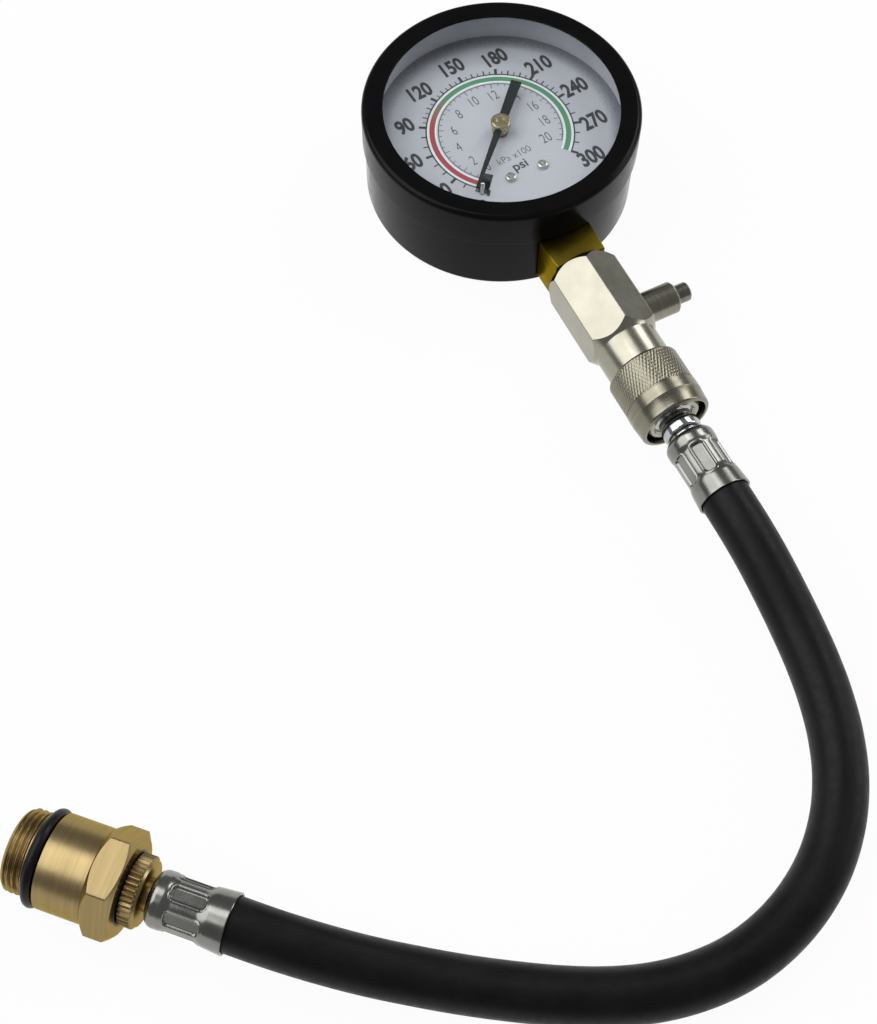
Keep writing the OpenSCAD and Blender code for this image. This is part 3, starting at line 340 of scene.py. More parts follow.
def add_piece(name, verts, faces, body, slot, node=None, material=None, sharp=28):
    """Mesh piece from points in metres; it rides on a body, if one is named, and may stand for a node."""
    mesh = bpy.data.meshes.new(name)
    mesh.from_pydata(verts, [], faces)
    build = bmesh.new()
    build.from_mesh(mesh)
    bmesh.ops.recalc_face_normals(build, faces=build.faces)
    build.to_mesh(mesh)
    build.free()
    mesh.shade_smooth()
    mesh.set_sharp_from_angle(angle=math.radians(sharp))
    mesh.materials.append(M[material or slot])
    piece = bpy.data.objects.new(name, mesh)
    scene.collection.objects.link(piece)
    if body:
        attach(piece, body)
    if node:
        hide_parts(node)
    return piece


def even_angles(sides):
    return [TAU * k / sides for k in range(sides)]


def revolved(rows, angles, place):
    """Points and faces of a closed outline turned round an axis.

    A row is a radius and a height, or a function that gives them for an angle.
    """
    verts = []
    for row in rows:
        for a in angles:
            r, t = row(a) if callable(row) else row
            verts.append(place @ Vector((r * math.cos(a), r * math.sin(a), t)) * MM)
    count = len(angles)
    faces = []
    for i in range(len(rows)):
        first = i * count
        following = (i + 1) % len(rows) * count
        for k in range(count):
            n = (k + 1) % count
            faces.append((first + k, first + n, following + n, following + k))
    return verts, faces


def turn(name, outline, place, body, slot, node=None, sides=128, edge=0.12, **options):
    """Turned piece from a closed outline of radius and height, with its edges softened."""
    verts, faces = revolved(soften(outline, edge), even_angles(sides), place)
    return add_piece(name, verts, faces, body, slot, node, **options)


def smooth(x):
    """Soft step from 0 to 1."""
    x = min(1.0, max(0.0, x))
    return x * x * (3 - 2 * x)


# Camera, floor and light

PHOTO_SIZE = (877, 1024)
camera_at = Vector((-143.8, -248.7, 358.3)) * MM
camera_aim = Vector((-58.5, -82.0, 0)) * MM
camera_roll = math.radians(0.564)
focal_pixels = 1715
SENSOR = 36

camera = bpy.data.cameras.new("camera")
camera.sensor_width = SENSOR
camera.lens = SENSOR * focal_pixels / max(PHOTO_SIZE)
camera.clip_start = 0.01
camera_rig = bpy.data.objects.new("camera", camera)
camera_turn = (camera_aim - camera_at).to_track_quat("-Z", "Y").to_matrix().to_4x4()
camera_rig.matrix_world = Matrix.Translation(camera_at) @ camera_turn @ Matrix.Rotation(camera_roll, 4, "Z")
scene.collection.objects.link(camera_rig)
scene.camera = camera_rig
scene.view_settings.view_transform = "Standard"

FLOOR_SIZE = 60.0
FLOOR_TONE = (0.9, 0.9, 0.9, 1)
floor_glow = 0.96
WORLD_TONE = (0.95, 0.97, 1, 1)
world_strength = 0.24
lamp_aim = Vector((-0.07, -0.08, 0))


def floor_material():
    """Pale floor that keeps a faint shadow and reads as white to the eye and in reflections."""
    material = bpy.data.materials.new("pale_floor")
    material.use_nodes = True
    nodes = material.node_tree.nodes
    links = material.node_tree.links
    nodes.clear()
    output = nodes.new("ShaderNodeOutputMaterial")
    pale = nodes.new("ShaderNodeBsdfDiffuse")
    pale.inputs["Color"].default_value = FLOOR_TONE
    glow = nodes.new("ShaderNodeEmission")
    glow.inputs["Color"].default_value = (1, 1, 1, 1)
    glow.inputs["Strength"].default_value = 1
    path = nodes.new("ShaderNodeLightPath")
    seen = path.outputs["Is Camera Ray"]
    for ray in ("Is Glossy Ray", "Is Transmission Ray"):
        either = nodes.new("ShaderNodeMath")
        either.operation = "MAXIMUM"
        links.new(seen, either.inputs[0])
        links.new(path.outputs[ray], either.inputs[1])
        seen = either.outputs[0]
    share = nodes.new("ShaderNodeMath")
    share.operation = "MULTIPLY"
    share.inputs[1].default_value = floor_glow
    links.new(seen, share.inputs[0])
    mix = nodes.new("ShaderNodeMixShader")
    links.new(share.outputs[0], mix.inputs["Fac"])
    links.new(pale.outputs[0], mix.inputs[1])
    links.new(glow.outputs[0], mix.inputs[2])
    links.new(mix.outputs[0], output.inputs["Surface"])
    return material


floor_mesh = bpy.data.meshes.new("floor")
half = FLOOR_SIZE / 2
floor_corners = [(-half, -half, 0), (half, -half, 0), (half, half, 0), (-half, half, 0)]
floor_mesh.from_pydata(floor_corners, [], [(0, 1, 2, 3)])
floor_mesh.materials.append(floor_material())
floor = bpy.data.objects.new("floor", floor_mesh)
scene.collection.objects.link(floor)

world = bpy.data.worlds.new("studio")
scene.world = world
world.use_nodes = True
world.node_tree.nodes["Background"].inputs["Color"].default_value = WORLD_TONE
world.node_tree.nodes["Background"].inputs["Strength"].default_value = world_strength


def softbox(name, direction, distance, width, height, power):
    """Area lamp that faces the middle of the object; lengths in metres, power in watts."""
    lamp = bpy.data.lights.new(name, "AREA")
    lamp.shape = "RECTANGLE"
    lamp.size = width
    lamp.size_y = height
    lamp.energy = power
    rig = bpy.data.objects.new(name, lamp)
    back = Vector(direction).normalized()
    rig.location = lamp_aim + back * distance
    rig.rotation_euler = back.to_track_quat("Z", "Y").to_euler()
    scene.collection.objects.link(rig)


softbox("key_left", (-0.56, 0.41, 0.74), distance=1.1, width=1.1, height=0.9, power=7.4)
softbox("overhead", (-0.09, 0.31, 0.94), distance=1.3, width=0.5, height=0.5, power=1.8)
softbox("far_right", (1.0, 0.3, 0.85), distance=1.3, width=0.6, height=0.5, power=3.5)
softbox("side_right", (1.0, -0.25, 0.35), distance=1.2, width=0.5, height=0.5, power=2)


# Hose along its route

hose_route = [
    (0, -98, 10), (0, -106.8, 10), (0, -112.5, 10), (0, -121, 9.7), (-0.1, -129.5, 8.8),
    (-0.5, -138, 7.6), (-1.2, -146.5, 6.6), (-2.4, -155.1, 6.1), (-4.4, -163.7, 6.1),
    (-7.3, -172.3, 6.1), (-11.5, -180.8, 6.1), (-17.3, -188.6, 6.1), (-24.6, -195.2, 6.1),
    (-32.9, -200.1, 6.1), (-41.8, -203.3, 6.1), (-51.1, -204.8, 6.1), (-60.5, -204.4, 6.1),
    (-69.7, -202.4, 6.1), (-78.5, -199, 6.1), (-87.1, -194.5, 6.1), (-95.5, -189.3, 6.1),
    (-103.8, -183.7, 6.2), (-111.8, -177.9, 6.7), (-119.6, -172, 7.6), (-127, -165.9, 8.8),
    (-134, -159.6, 9.9), (-140.6, -153.1, 10.7), (-144.8, -148.7, 10.75), (-150.7, -142.6, 10.75),
]
hose_d = 12
hose_bore_r = 3
crimped_r = 4.6
ferrule_len = 17.5
flute_end = 11.8
gauge_ferrule_s = -span("gauge_ferrule", 1)[1]
adapter_ferrule_t = 30.2


def spline(route, steps):
    """Curve through the points of a route, with the given number of steps between them."""
    points = [Vector(p) for p in route]
    last = len(points) - 1
    out = []
    for i in range(last):
        p0 = points[max(i - 1, 0)]
        p1 = points[i]
        p2 = points[i + 1]
        p3 = points[min(i + 2, last)]
        for j in range(steps):
            u = j / steps
            bend = (2 * p0 - 5 * p1 + 4 * p2 - p3) * u ** 2 + (3 * p1 - p0 - 3 * p2 + p3) * u ** 3
            out.append(0.5 * (2 * p1 + (p2 - p0) * u + bend))
    return out + [points[last]]


def hose_radius(spot):
    """Narrow under the pressed flutes, full outside the ferrules."""
    from_gauge = -spot.y - gauge_ferrule_s
    from_adapter = (spot - adapter_start).dot(adapter_dir) - adapter_ferrule_t
    depth = min(from_gauge, from_adapter)
    share = min(1, max(0, (depth - flute_end) / (ferrule_len - flute_end - 1)))
    return crimped_r + (hose_d / 2 - crimped_r) * share


def make_hose():
    path = spline(hose_route, 10)
    sides = 64
    verts = []
    for i, spot in enumerate(path):
        along = (path[min(i + 1, len(path) - 1)] - path[max(i - 1, 0)]).normalized()
        side = along.cross(Vector((0, 0, 1))).normalized()
        up = side.cross(along)
        for radius in (hose_radius(spot), hose_bore_r):
            for a in even_angles(sides):
                verts.append((spot + radius * (math.cos(a) * side + math.sin(a) * up)) * MM)
    ring = 2 * sides
    faces = []
    for i in range(len(path) - 1):
        for k in range(sides):
            n = (k + 1) % sides
            outer = (i * ring + k, i * ring + n, (i + 1) * ring + n, (i + 1) * ring + k)
            faces.append(outer)
            faces.append(tuple(v + sides for v in reversed(outer)))
    for first in (0, (len(path) - 1) * ring):
        for k in range(sides):
            n = (k + 1) % sides
            faces.append((first + k, first + n, first + sides + n, first + sides + k))
    return add_piece("rubber_hose", verts, faces, "hose_end", "hose_rubber", "hose"), path


hose, hose_path = make_hose()


# Gauge case, bezel, ring and lens

bezel_r = span("bezel", 0)[1]
gauge_top = span("bezel", 2)[1]
skirt_low = span("bezel", 2)[0]
lens_low, lens_top = span("lens", 2)
dial_top = span("dial_plate", 2)[1]
case_r = span("case", 0)[1]
window_r = 29.6
roll_r = 1.4
rim_land = 1.8
rim_slope = 0.3
rim_drop = 0.05
bezel_t = 0.6
case_t = 1.2
case_edge_r = 1.6


def arc_points(centre, radius, start, end, steps=10):
    """Points on an arc between two angles in degrees."""
    out = []
    for k in range(steps + 1):
        a = math.radians(start + (end - start) * k / steps)
        out.append((centre[0] + radius * math.cos(a), centre[1] + radius * math.sin(a)))
    return out


def make_bezel():
    roll = arc_points((bezel_r - roll_r, gauge_top - roll_r), roll_r, 0, 90)
    outline = [(bezel_r - bezel_t, skirt_low), (bezel_r, skirt_low)] + roll + [
        (window_r + rim_land, gauge_top - rim_drop),
        (window_r, gauge_top - rim_slope),
        (window_r, lens_top),
        (bezel_r - bezel_t, lens_top),
    ]
    return turn("bezel_ring", outline, UPRIGHT, "gauge", "bezel_black", "bezel", sides=256, edge=0.22)


def cut_away(piece, verts, faces):
    """Cuts a closed shape out of a piece; its points are in metres."""
    mesh = bpy.data.meshes.new("cutter")
    mesh.from_pydata(verts, [], faces)
    build = bmesh.new()
    build.from_mesh(mesh)
    bmesh.ops.recalc_face_normals(build, faces=build.faces)
    build.to_mesh(mesh)
    build.free()
    cutter = bpy.data.objects.new("cutter", mesh)
    scene.collection.objects.link(cutter)
    cut = piece.modifiers.new("cut", "BOOLEAN")
    cut.operation = "DIFFERENCE"
    cut.solver = "EXACT"
    cut.object = cutter
    shown = piece.evaluated_get(bpy.context.evaluated_depsgraph_get())
    result = bpy.data.meshes.new_from_object(shown)
    piece.modifiers.clear()
    old = piece.data
    piece.data = result
    bpy.data.meshes.remove(old)
    bpy.data.objects.remove(cutter)
    bpy.data.meshes.remove(mesh)


def box_shape(low, high):
    """Points and faces of a box between two corners in millimetres."""
    ends = list(zip(low, high))
    verts = [Vector((x, y, z)) * MM for x in ends[0] for y in ends[1] for z in ends[2]]
    return verts, [(0, 1, 3, 2), (4, 6, 7, 5), (0, 4, 5, 1), (2, 3, 7, 6), (0, 2, 6, 4), (1, 5, 7, 3)]


def make_case():
    edge = arc_points((case_r - case_edge_r, case_edge_r), case_edge_r, -90, 0)
    inner_r = case_r - case_t
    outline = [(AXIS_R, 0)] + edge
    outline += [(case_r, lens_low), (inner_r, lens_low), (inner_r, case_t), (AXIS_R, case_t)]
    case = turn("case_cup", outline, UPRIGHT, "gauge", "case_black", "case", sides=256, edge=0.1)
    stem_slot = 6.95
    slot_low = (-stem_slot, -bezel_r - 1, stem_z - stem_slot)
    slot_end = 20
    slot_high = (stem_slot, -slot_end, stem_z + stem_slot)
    cut_away(case, *box_shape(slot_low, slot_high))


def make_lens():
    """Flat pane that casts no shadow on the dial."""
    pane_r = span("lens", 0)[1]
    rows = [(AXIS_R, lens_low), (pane_r, lens_low), (pane_r, lens_top), (AXIS_R, lens_top)]
    verts, faces = revolved(rows, even_angles(192), UPRIGHT)
    pane = add_piece("lens_pane", verts, faces, "gauge", "lens_glass", "lens")
    pane.visible_shadow = False


make_bezel()
make_case()
make_lens()


# Stem, valve block and coupler

hex_af = 17
hex_start, barrel_end = (-s for s in reversed(span("valve_block", 1)))
hex_end = hex_start + 23.5
neck_r = 8
neck_end = hex_end + 10
barrel_r = 6.9
socket_r = 5.05
socket_s = hex_end + 5.5
spigot_r = 4.9
passage_r = 1.5
port_r, port_end = 2.2, 4.4
valve_bore_r = 3.05
sleeve_s, sleeve_end = (-s for s in reversed(span("coupler_sleeve", 1)))


def hexagon(af, corner_round, first_corner):
    """Radius of a hexagon with softly rounded edges, for an angle, and the half angle of such an edge."""
    corner_r = af / math.sqrt(3)
    centre = corner_r - corner_round / math.cos(math.radians(30))
    tangent_x, tangent_y = corner_r - corner_round / math.sqrt(12), corner_round / 2
    blend = math.atan2(tangent_y, tangent_x)

    def radius(a):
        off = (a - first_corner + TAU / 12) % (TAU / 6) - TAU / 12
        if abs(off) <= blend:
            across = centre * math.sin(off)
            return centre * math.cos(off) + math.sqrt(max(0, corner_round ** 2 - across ** 2))
        return af / 2 / math.cos(TAU / 12 - abs(off))

    return radius, blend


def hexagon_angles(blend, first_corner, steps=20):
    """Angles that fall on the rounded edges of a hexagon and evenly between them."""
    out = []
    for i in range(6):
        corner = first_corner + TAU / 6 * i
        out += [corner + blend * u for u in (-1, -0.5, 0, 0.5)]
        gap = TAU / 6 - 2 * blend
        out += [corner + blend + gap * k / steps for k in range(steps)]
    return out


def make_valve_block():
    corner = TAU / 4
    radius, blend = hexagon(hex_af, corner_round=0.35, first_corner=corner)
    chamfer_share = 0.97
    face_r = hex_af / 2 * chamfer_share
    slope = math.tan(math.radians(55))

    def back(a):
        return radius(a), hex_start + (radius(a) - face_r) * slope

    def front(a):
        return radius(a), hex_end - (radius(a) - face_r) * slope

    edge = 0.1
    fillet = 0.05
    lead = 0.5
    neck = hex_end + 0.3
    spigot_end = hex_start + 10
    rows = [(spigot_r, hex_start), (face_r - edge, hex_start), (face_r, hex_start + edge), back, front,
            (face_r + fillet, hex_end - edge), (neck_r + fillet, neck), (neck_r, neck + 2 * edge),
            (neck_r, neck_end), (barrel_r, neck_end), (barrel_r, barrel_end - lead),
            (barrel_r - lead, barrel_end), (socket_r + lead, barrel_end), (socket_r, barrel_end - lead),
            (socket_r, socket_s), (passage_r, socket_s), (passage_r, spigot_end), (spigot_r, spigot_end)]
    verts, faces = revolved(rows, hexagon_angles(blend, corner), STEM)
    block = add_piece("valve_hexagon", verts, faces, "gauge", "nickel_plate", "valve_block", sharp=20)
    bore = [(AXIS_R, 0), (port_r, 0), (port_r, port_end), (valve_bore_r, port_end), (valve_bore_r, hex_af),
            (AXIS_R, hex_af)]
    cut_away(block, *revolved(bore, even_angles(48), RELEASE))


def wave(x):
    """Distance from the nearest whole number, 0 to 0.5."""
    return abs(x - round(x))


def vee(x, half_w):
    """Depth of a V groove at every whole number, 1 at its root and 0 outside its half width."""
    return max(0, 1 - wave(x) / half_w)


sleeve_r = span("coupler_sleeve", 0)[1]
sleeve_in_r = 8.08
rib_s, rib_end, rib_r = 82, 85, 7
recess_r = 7.9
knurl_len = 9
knurl_starts = 66
knurl_pitch = 1.7
knurl_depth = 0.11
knurl_half_w = 0.4
knurl_cross_share = 0.5


def knurl_cut(a, t):
    """Depth of two crossing sets of V grooves, the second shallower, at an angle and a station."""
    u = knurl_starts * a / TAU
    deep = vee(u - t / knurl_pitch, knurl_half_w)
    shallow = knurl_cross_share * vee(u + t / knurl_pitch, knurl_half_w)
    return knurl_depth * max(deep, shallow)


def make_sleeve():
    knurl_r = sleeve_r - 0.1
    start_round = 0.9
    groove = sleeve_s + knurl_len
    groove_end = groove + 0.35
    floor_r = sleeve_r - 0.28
    band_end = groove_end + 2.9
    nose_r = sleeve_r - 0.28
    nose_round = 0.7
    first = sleeve_s + start_round
    edge, band_edge = 0.1, 0.12
    lead, lead_depth = 0.2, 0.15
    steps = 52

    def knurled(t):
        return lambda a: (knurl_r - knurl_cut(a, t), t)

    rows = [(sleeve_in_r, rib_s), (sleeve_in_r, sleeve_s + lead), (sleeve_in_r + lead_depth, sleeve_s)]
    rows += arc_points((knurl_r - start_round, first), start_round, -75, -12, 6)
    rows += [knurled(first + (groove - edge - first) * k / steps) for k in range(steps + 1)]
    rows += [(knurl_r - 0.08, groove), (floor_r, groove + 0.04), (floor_r, groove_end)]
    rows += [(sleeve_r - 0.06, groove_end + 0.03), (sleeve_r, groove_end + band_edge), (sleeve_r, band_end)]
    rows += [(sleeve_r - 0.07, band_end + band_edge), (nose_r, sleeve_end - nose_round)]
    rows += arc_points((nose_r - nose_round, sleeve_end - nose_round), nose_round, 18, 90, 7)
    rows += [(recess_r + edge, sleeve_end), (recess_r, sleeve_end - edge), (recess_r, rib_end)]
    rows += [(rib_r, rib_end), (rib_r, rib_s)]
    verts, faces = revolved(rows, even_angles(8 * knurl_starts), STEM)
    return add_piece("knurled_sleeve", verts, faces, "coupler_sleeve", "nickel_plate", "coupler_sleeve",
                     "sleeve_nickel")


def make_release():
    """Side valve that lets the pressure out: a turned housing and its button."""
    reach = span("release_valve_housing", 0)[1]
    tip = span("release_button", 0)[1]
    face = hex_af / 2
    guide_r, guide_x = 1.1, 6.5
    shank_r, shank_x = 3, 4.5
    housing_r, chamfer = 4, 0.6
    well_r, well_x = 2.5, 10
    housing = [(guide_r, guide_x), (port_r, guide_x), (port_r, shank_x), (shank_r, shank_x), (shank_r, face),
               (housing_r, face), (housing_r, reach - chamfer), (housing_r - chamfer, reach), (well_r, reach),
               (well_r, well_x), (guide_r, well_x)]
    turn("release_housing", housing, RELEASE, "gauge", "nickel_plate", "release_valve_housing", sides=96,
         material="release_nickel")
    disc_r, disc_x, disc_end = 1.9, 4.65, 5.45
    rod_r = 0.8
    cap_r, cap_x, cap_edge = 2.42, 13.5, 0.35
    button = [(AXIS_R, disc_x), (disc_r, disc_x), (disc_r, disc_end), (rod_r, disc_end), (rod_r, cap_x),
              (cap_r, cap_x), (cap_r, tip - cap_edge), (cap_r - cap_edge, tip), (AXIS_R, tip)]
    turn("release_knob", button, RELEASE, "release_button", "button_steel", "release_button", sides=96)


make_valve_block()
make_sleeve()
make_release()


# Plug, ferrules and hose ends

ferrule_grip_r = 3.6
plug_bore_r = 1.3


def tail_rows(ferrule_at):
    """Hose tail in a ferrule that starts at the given station: a plain grip, the barbs and the end."""
    grip_len, barbs_from, end_gap = 1.5, 3.2, 3
    start_r, crest_r, end_r = 2.75, 2.85, 2.6
    crest_share = 0.25
    count = 3
    first = ferrule_at + barbs_from
    last = ferrule_at + ferrule_len - end_gap
    pitch = (last - first) / count
    rows = [(ferrule_grip_r, ferrule_at + grip_len)]
    for i in range(count):
        t = first + i * pitch
        rows += [(start_r, t), (crest_r, t + pitch * crest_share), (end_r, t + pitch)]
    return rows + [(plug_bore_r, last)]


def make_plug():
    nose_s, nose_end, nose_r = 72.2, 75.2, 3.35
    shaft_r, shaft_end = 4.98, 89
    groove, groove_r, groove_foot, groove_top = 83.5, 4.3, 0.9, 1.7
    waist_r = 4.2
    collar, collar_end, collar_r = 91, 94.2, 4.75
    round_r = 0.75
    lead, nose_edge, shaft_edge = 0.6, 0.3, 0.4
    fillet = 0.15
    rows = [(plug_bore_r, nose_s), (nose_r - nose_edge, nose_s), (nose_r, nose_s + lead), (nose_r, nose_end),
            (shaft_r - shaft_edge, nose_end), (shaft_r, nose_end + lead), (shaft_r, groove - groove_top),
            (groove_r, groove - groove_foot), (groove_r, groove + groove_foot),
            (shaft_r, groove + groove_top), (shaft_r, shaft_end), (waist_r, shaft_end + shaft_edge),
            (waist_r, collar - fillet), (waist_r + fillet, collar)]
    rows += arc_points((collar_r - round_r, collar + round_r), round_r, -60, 0, 6)
    rows += arc_points((collar_r - round_r, collar_end - round_r), round_r, 0, 90, 8)
    rows += [(ferrule_grip_r, collar_end)] + tail_rows(gauge_ferrule_s)
    verts, faces = revolved(rows, even_angles(128), STEM)
    return add_piece("chrome_plug", verts, faces, "hose_end", "plug_chrome", "quick_plug")


flute_count = 6
flute_start = 5
flute_half_w = 1.65
flute_half_l = 3.9
flute_flat_r = 5.15
flute_corner_r = 0.9
flute_ease = 0.3
lip_h = 0.16
lip_from_edge = 0.16
lip_half_w = 0.32


def ferrule_profile(z):
    """Outer radius of a ferrule before its flutes are pressed, from its shoulder."""
    shoulder_r, shoulder_round = 6.15, 2
    fall_start, fall_len = 3.2, 2
    ridge_r, ridge_start = 5.7, flute_start + 0.6
    rise_start, rise_len = flute_end - 0.8, 2.4
    flare_r, flare_start = 6.3, flute_end + 1.4
    end_r = 6.65
    if z < shoulder_round:
        return shoulder_r - shoulder_round + math.sqrt(shoulder_round ** 2 - (shoulder_round - z) ** 2)
    if z < ridge_start:
        return shoulder_r + (ridge_r - shoulder_r) * smooth((z - fall_start) / fall_len)
    if z < flare_start:
        return ridge_r + (flare_r - ridge_r) * smooth((z - rise_start) / rise_len)
    return flare_r + (end_r - flare_r) * (z - flare_start) / (ferrule_len - flare_start)


def ferrule_radius(a, z, turned):
    """Outer radius with the pressed flats and the lips that the press raised round them."""
    pitch = TAU / flute_count
    off = (a - turned + pitch / 2) % pitch - pitch / 2
    plain = ferrule_profile(z)
    across = abs(plain * math.sin(off)) - flute_half_w + flute_corner_r
    along = abs(z - (flute_start + flute_end) / 2) - flute_half_l + flute_corner_r
    inside = flute_corner_r - math.hypot(max(across, 0), max(along, 0)) - min(max(across, along), 0)
    pressed = smooth(inside / flute_ease)
    lip = lip_h * max(0, 1 - abs(inside + lip_from_edge) / lip_half_w)
    return plain + lip + (min(flute_flat_r / math.cos(off), plain) - plain) * pressed


def make_ferrule(name, node, place, first, turned):
    steps = 110
    wall = 1.2
    hole_r, grip_r = 3.75, 4.7
    mouth_r, rim_r = 6.2, 6.6

    def pressed(z):
        return lambda a: (ferrule_radius(a, z, turned), first + z)

    heights = [0.02, 0.1, 0.25, 0.45, 0.7, 1.0]
    heights += [wall + (ferrule_len - wall - 0.1) * k / steps for k in range(steps + 1)]
    end = first + ferrule_len
    rows = [(hole_r, first + wall), (hole_r, first)] + [pressed(z) for z in heights]
    rows += [(rim_r, end), (mouth_r, end), (mouth_r, end - 1), (grip_r, first + flute_end),
             (grip_r, first + wall)]
    verts, faces = revolved(rows, even_angles(264), place)
    return add_piece(name, verts, faces, "hose_end", "ferrule_steel", node, sharp=40)


gauge_ferrule_turn = math.radians(42)
adapter_ferrule_turn = math.radians(20)
collar_r = 7.75
collar_t, collar_end = 25.4, 29.1
collar_teeth = 40


def make_end_fitting():
    spigot_t, screw_r = 13, 6.94
    core_r, core_end = 2.6, 22
    face_r = 7
    tooth_depth, tooth_half_w = 0.42, 0.42
    start_inset = 0.35
    teeth_t, teeth_len, steps = collar_t + 0.3, 2.6, 6
    plain_rim = ((0.55, 0.62), (0.75, 0.1), (0.95, 0))

    def toothed(inset, t):
        return lambda a: (collar_r - inset - tooth_depth * vee(collar_teeth * a / TAU, tooth_half_w), t)

    rows = [(core_r, core_end), (core_r, spigot_t), (screw_r, spigot_t), (screw_r, collar_t)]
    rows += [(face_r, collar_t), toothed(start_inset, collar_t)]
    rows += [toothed(0, teeth_t + teeth_len * k / steps) for k in range(steps + 1)]
    rows += [(collar_r - drop, collar_end - back) for drop, back in plain_rim]
    rows += [(ferrule_grip_r, collar_end)] + tail_rows(adapter_ferrule_t) + [(plug_bore_r, core_end)]
    verts, faces = revolved(rows, even_angles(10 * collar_teeth), ADAPTER)
    return add_piece("knurled_fitting", verts, faces, "hose_end", "adapter_brass", "end_fitting")


thread_r = 9
thread_len = 5
thread_pitch = 1.3
thread_depth = 0.75
groove_r = 8.2
body_t, body_end, body_r = 8, 18.5, 10.25
adapter_af = 21.3
adapter_end = 25.2


def thread_radius(a, t):
    """Radius of the thread, with flat crests and roots and a chamfered start."""
    crest_share, flank_share = 0.14, 0.72
    start_drop = 0.95
    from_crest = 2 * wave(t / thread_pitch - a / TAU)
    depth = min(1, max(0, (from_crest - crest_share) / flank_share))
    return min(thread_r - thread_depth * depth, thread_r - start_drop + t)


def make_adapter():
    corner = 0
    radius, blend = hexagon(adapter_af, corner_round=0.5, first_corner=corner)
    flat_r = adapter_af / 2
    body_slope, hose_slope = 0.8, 0.55
    edge, near_edge = 0.3, 0.06
    ring_t = thread_len - 0.45
    bore_r, well_r, well_t = 3.5, 7.02, 10
    mouth_r, seal_r = 8, 8.6
    lip_t, seal_t = adapter_end - 0.2, adapter_end - 2
    steps = 64

    def threaded(t):
        return lambda a: (thread_radius(a, t), t)

    def near_body(inset):
        """Hexagon towards the round body, its corners turned down."""
        return lambda a: (radius(a) - inset, body_end + edge - inset + body_slope * (radius(a) - flat_r))

    def near_hose(inset):
        """Hexagon towards the hose, its corners turned down less."""
        return lambda a: (radius(a) - inset, adapter_end - edge + inset - hose_slope * (radius(a) - flat_r))

    rows = [(bore_r, well_t), (bore_r, edge), (bore_r + edge, 0)]
    rows += [threaded(ring_t * k / steps) for k in range(steps + 1)]
    rows += [(thread_r - 0.5, ring_t + 0.02), (thread_r - 0.06, ring_t + 0.05), (thread_r, ring_t + 0.12),
             (thread_r, thread_len - 0.08), (thread_r - 0.1, thread_len), (groove_r, thread_len),
             (groove_r, body_t), (body_r - edge, body_t), (body_r - 0.08, body_t + 0.08),
             (body_r, body_t + edge), (body_r, body_end - 0.1), (body_r + 0.03, body_end)]
    rows += [(flat_r - edge, body_end), near_body(near_edge), near_body(0), near_hose(0),
             near_hose(near_edge), (flat_r - edge, adapter_end)]
    rows += [(mouth_r + 0.05, adapter_end), (mouth_r, adapter_end - 0.05), (mouth_r, lip_t), (seal_r, lip_t),
             (seal_r, seal_t), (well_r, seal_t), (well_r, well_t)]
    verts, faces = revolved(rows, hexagon_angles(blend, corner, 44), ADAPTER)
    return add_piece("brass_adapter", verts, faces, "hose_end", "adapter_brass", "thread_adapter", sharp=20)


def make_adapter_seal():
    ring_r, wire_r = 9.45, 1.2
    rows = arc_points((ring_r, (thread_len + body_t) / 2), wire_r, 0, 350, 35)
    verts, faces = revolved(rows, even_angles(144), ADAPTER)
    return add_piece("black_o_ring", verts, faces, "hose_end", "seal_rubber", "adapter_o_ring", sharp=60)


cord_pieces = [
    make_plug(),
    make_ferrule("gauge_crimp", "gauge_ferrule", STEM, gauge_ferrule_s, gauge_ferrule_turn),
    make_ferrule("adapter_crimp", "adapter_ferrule", ADAPTER, adapter_ferrule_t, adapter_ferrule_turn),
    make_end_fitting(),
    make_adapter(),
    make_adapter_seal(),
]


# Copies of nodes: bevelled where they are flat-sided, plain copies for the springs and the tube

def opened(node):
    """Mesh of a node to work on, in metres."""
    build = bmesh.new()
    build.from_mesh(frame["nodes"][node].data)
    bmesh.ops.transform(build, matrix=frame["nodes"][node].matrix_world, verts=build.verts)
    bmesh.ops.remove_doubles(build, verts=build.verts, dist=2e-6)
    return build


def stand_in(build, name, node, body, slot):
    """Piece from a worked mesh, in place of its node."""
    build.verts.index_update()
    verts = [v.co.copy() for v in build.verts]
    faces = [tuple(v.index for v in f.verts) for f in build.faces]
    build.free()
    return add_piece(name, verts, faces, body, slot, node)


def bevelled(name, node, body, slot, width):
    """Copy of a node with its sharp edges softened; the width is in millimetres."""
    build = opened(node)
    bmesh.ops.dissolve_limit(build, angle_limit=math.radians(0.5), verts=build.verts, edges=build.edges)
    sharp = [e for e in build.edges if e.is_manifold and e.calc_face_angle() > math.radians(35)]
    bmesh.ops.bevel(build, geom=sharp, offset=width * MM, segments=2, profile=0.6, affect="EDGES",
                    clamp_overlap=True)
    return stand_in(build, name, node, body, slot)


def coil(name, node, body, moved_by):
    """Copy of a spring with a mesh of its own; it reads its joint's axis and travel but does not shorten."""
    axis = Vector(joint(moved_by)["axis"]).normalized()
    travel = max(joint(moved_by)["range_m"])
    spring = stand_in(opened(node), name, node, body, "spring_steel")
    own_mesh(spring)
    return spring


def make_tube():
    """Curved pressure tube, copied from its node with its place baked into the mesh."""
    tube = stand_in(opened("bourdon_tube"), "pressure_tube", "bourdon_tube", None, "movement_brass")
    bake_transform(tube)


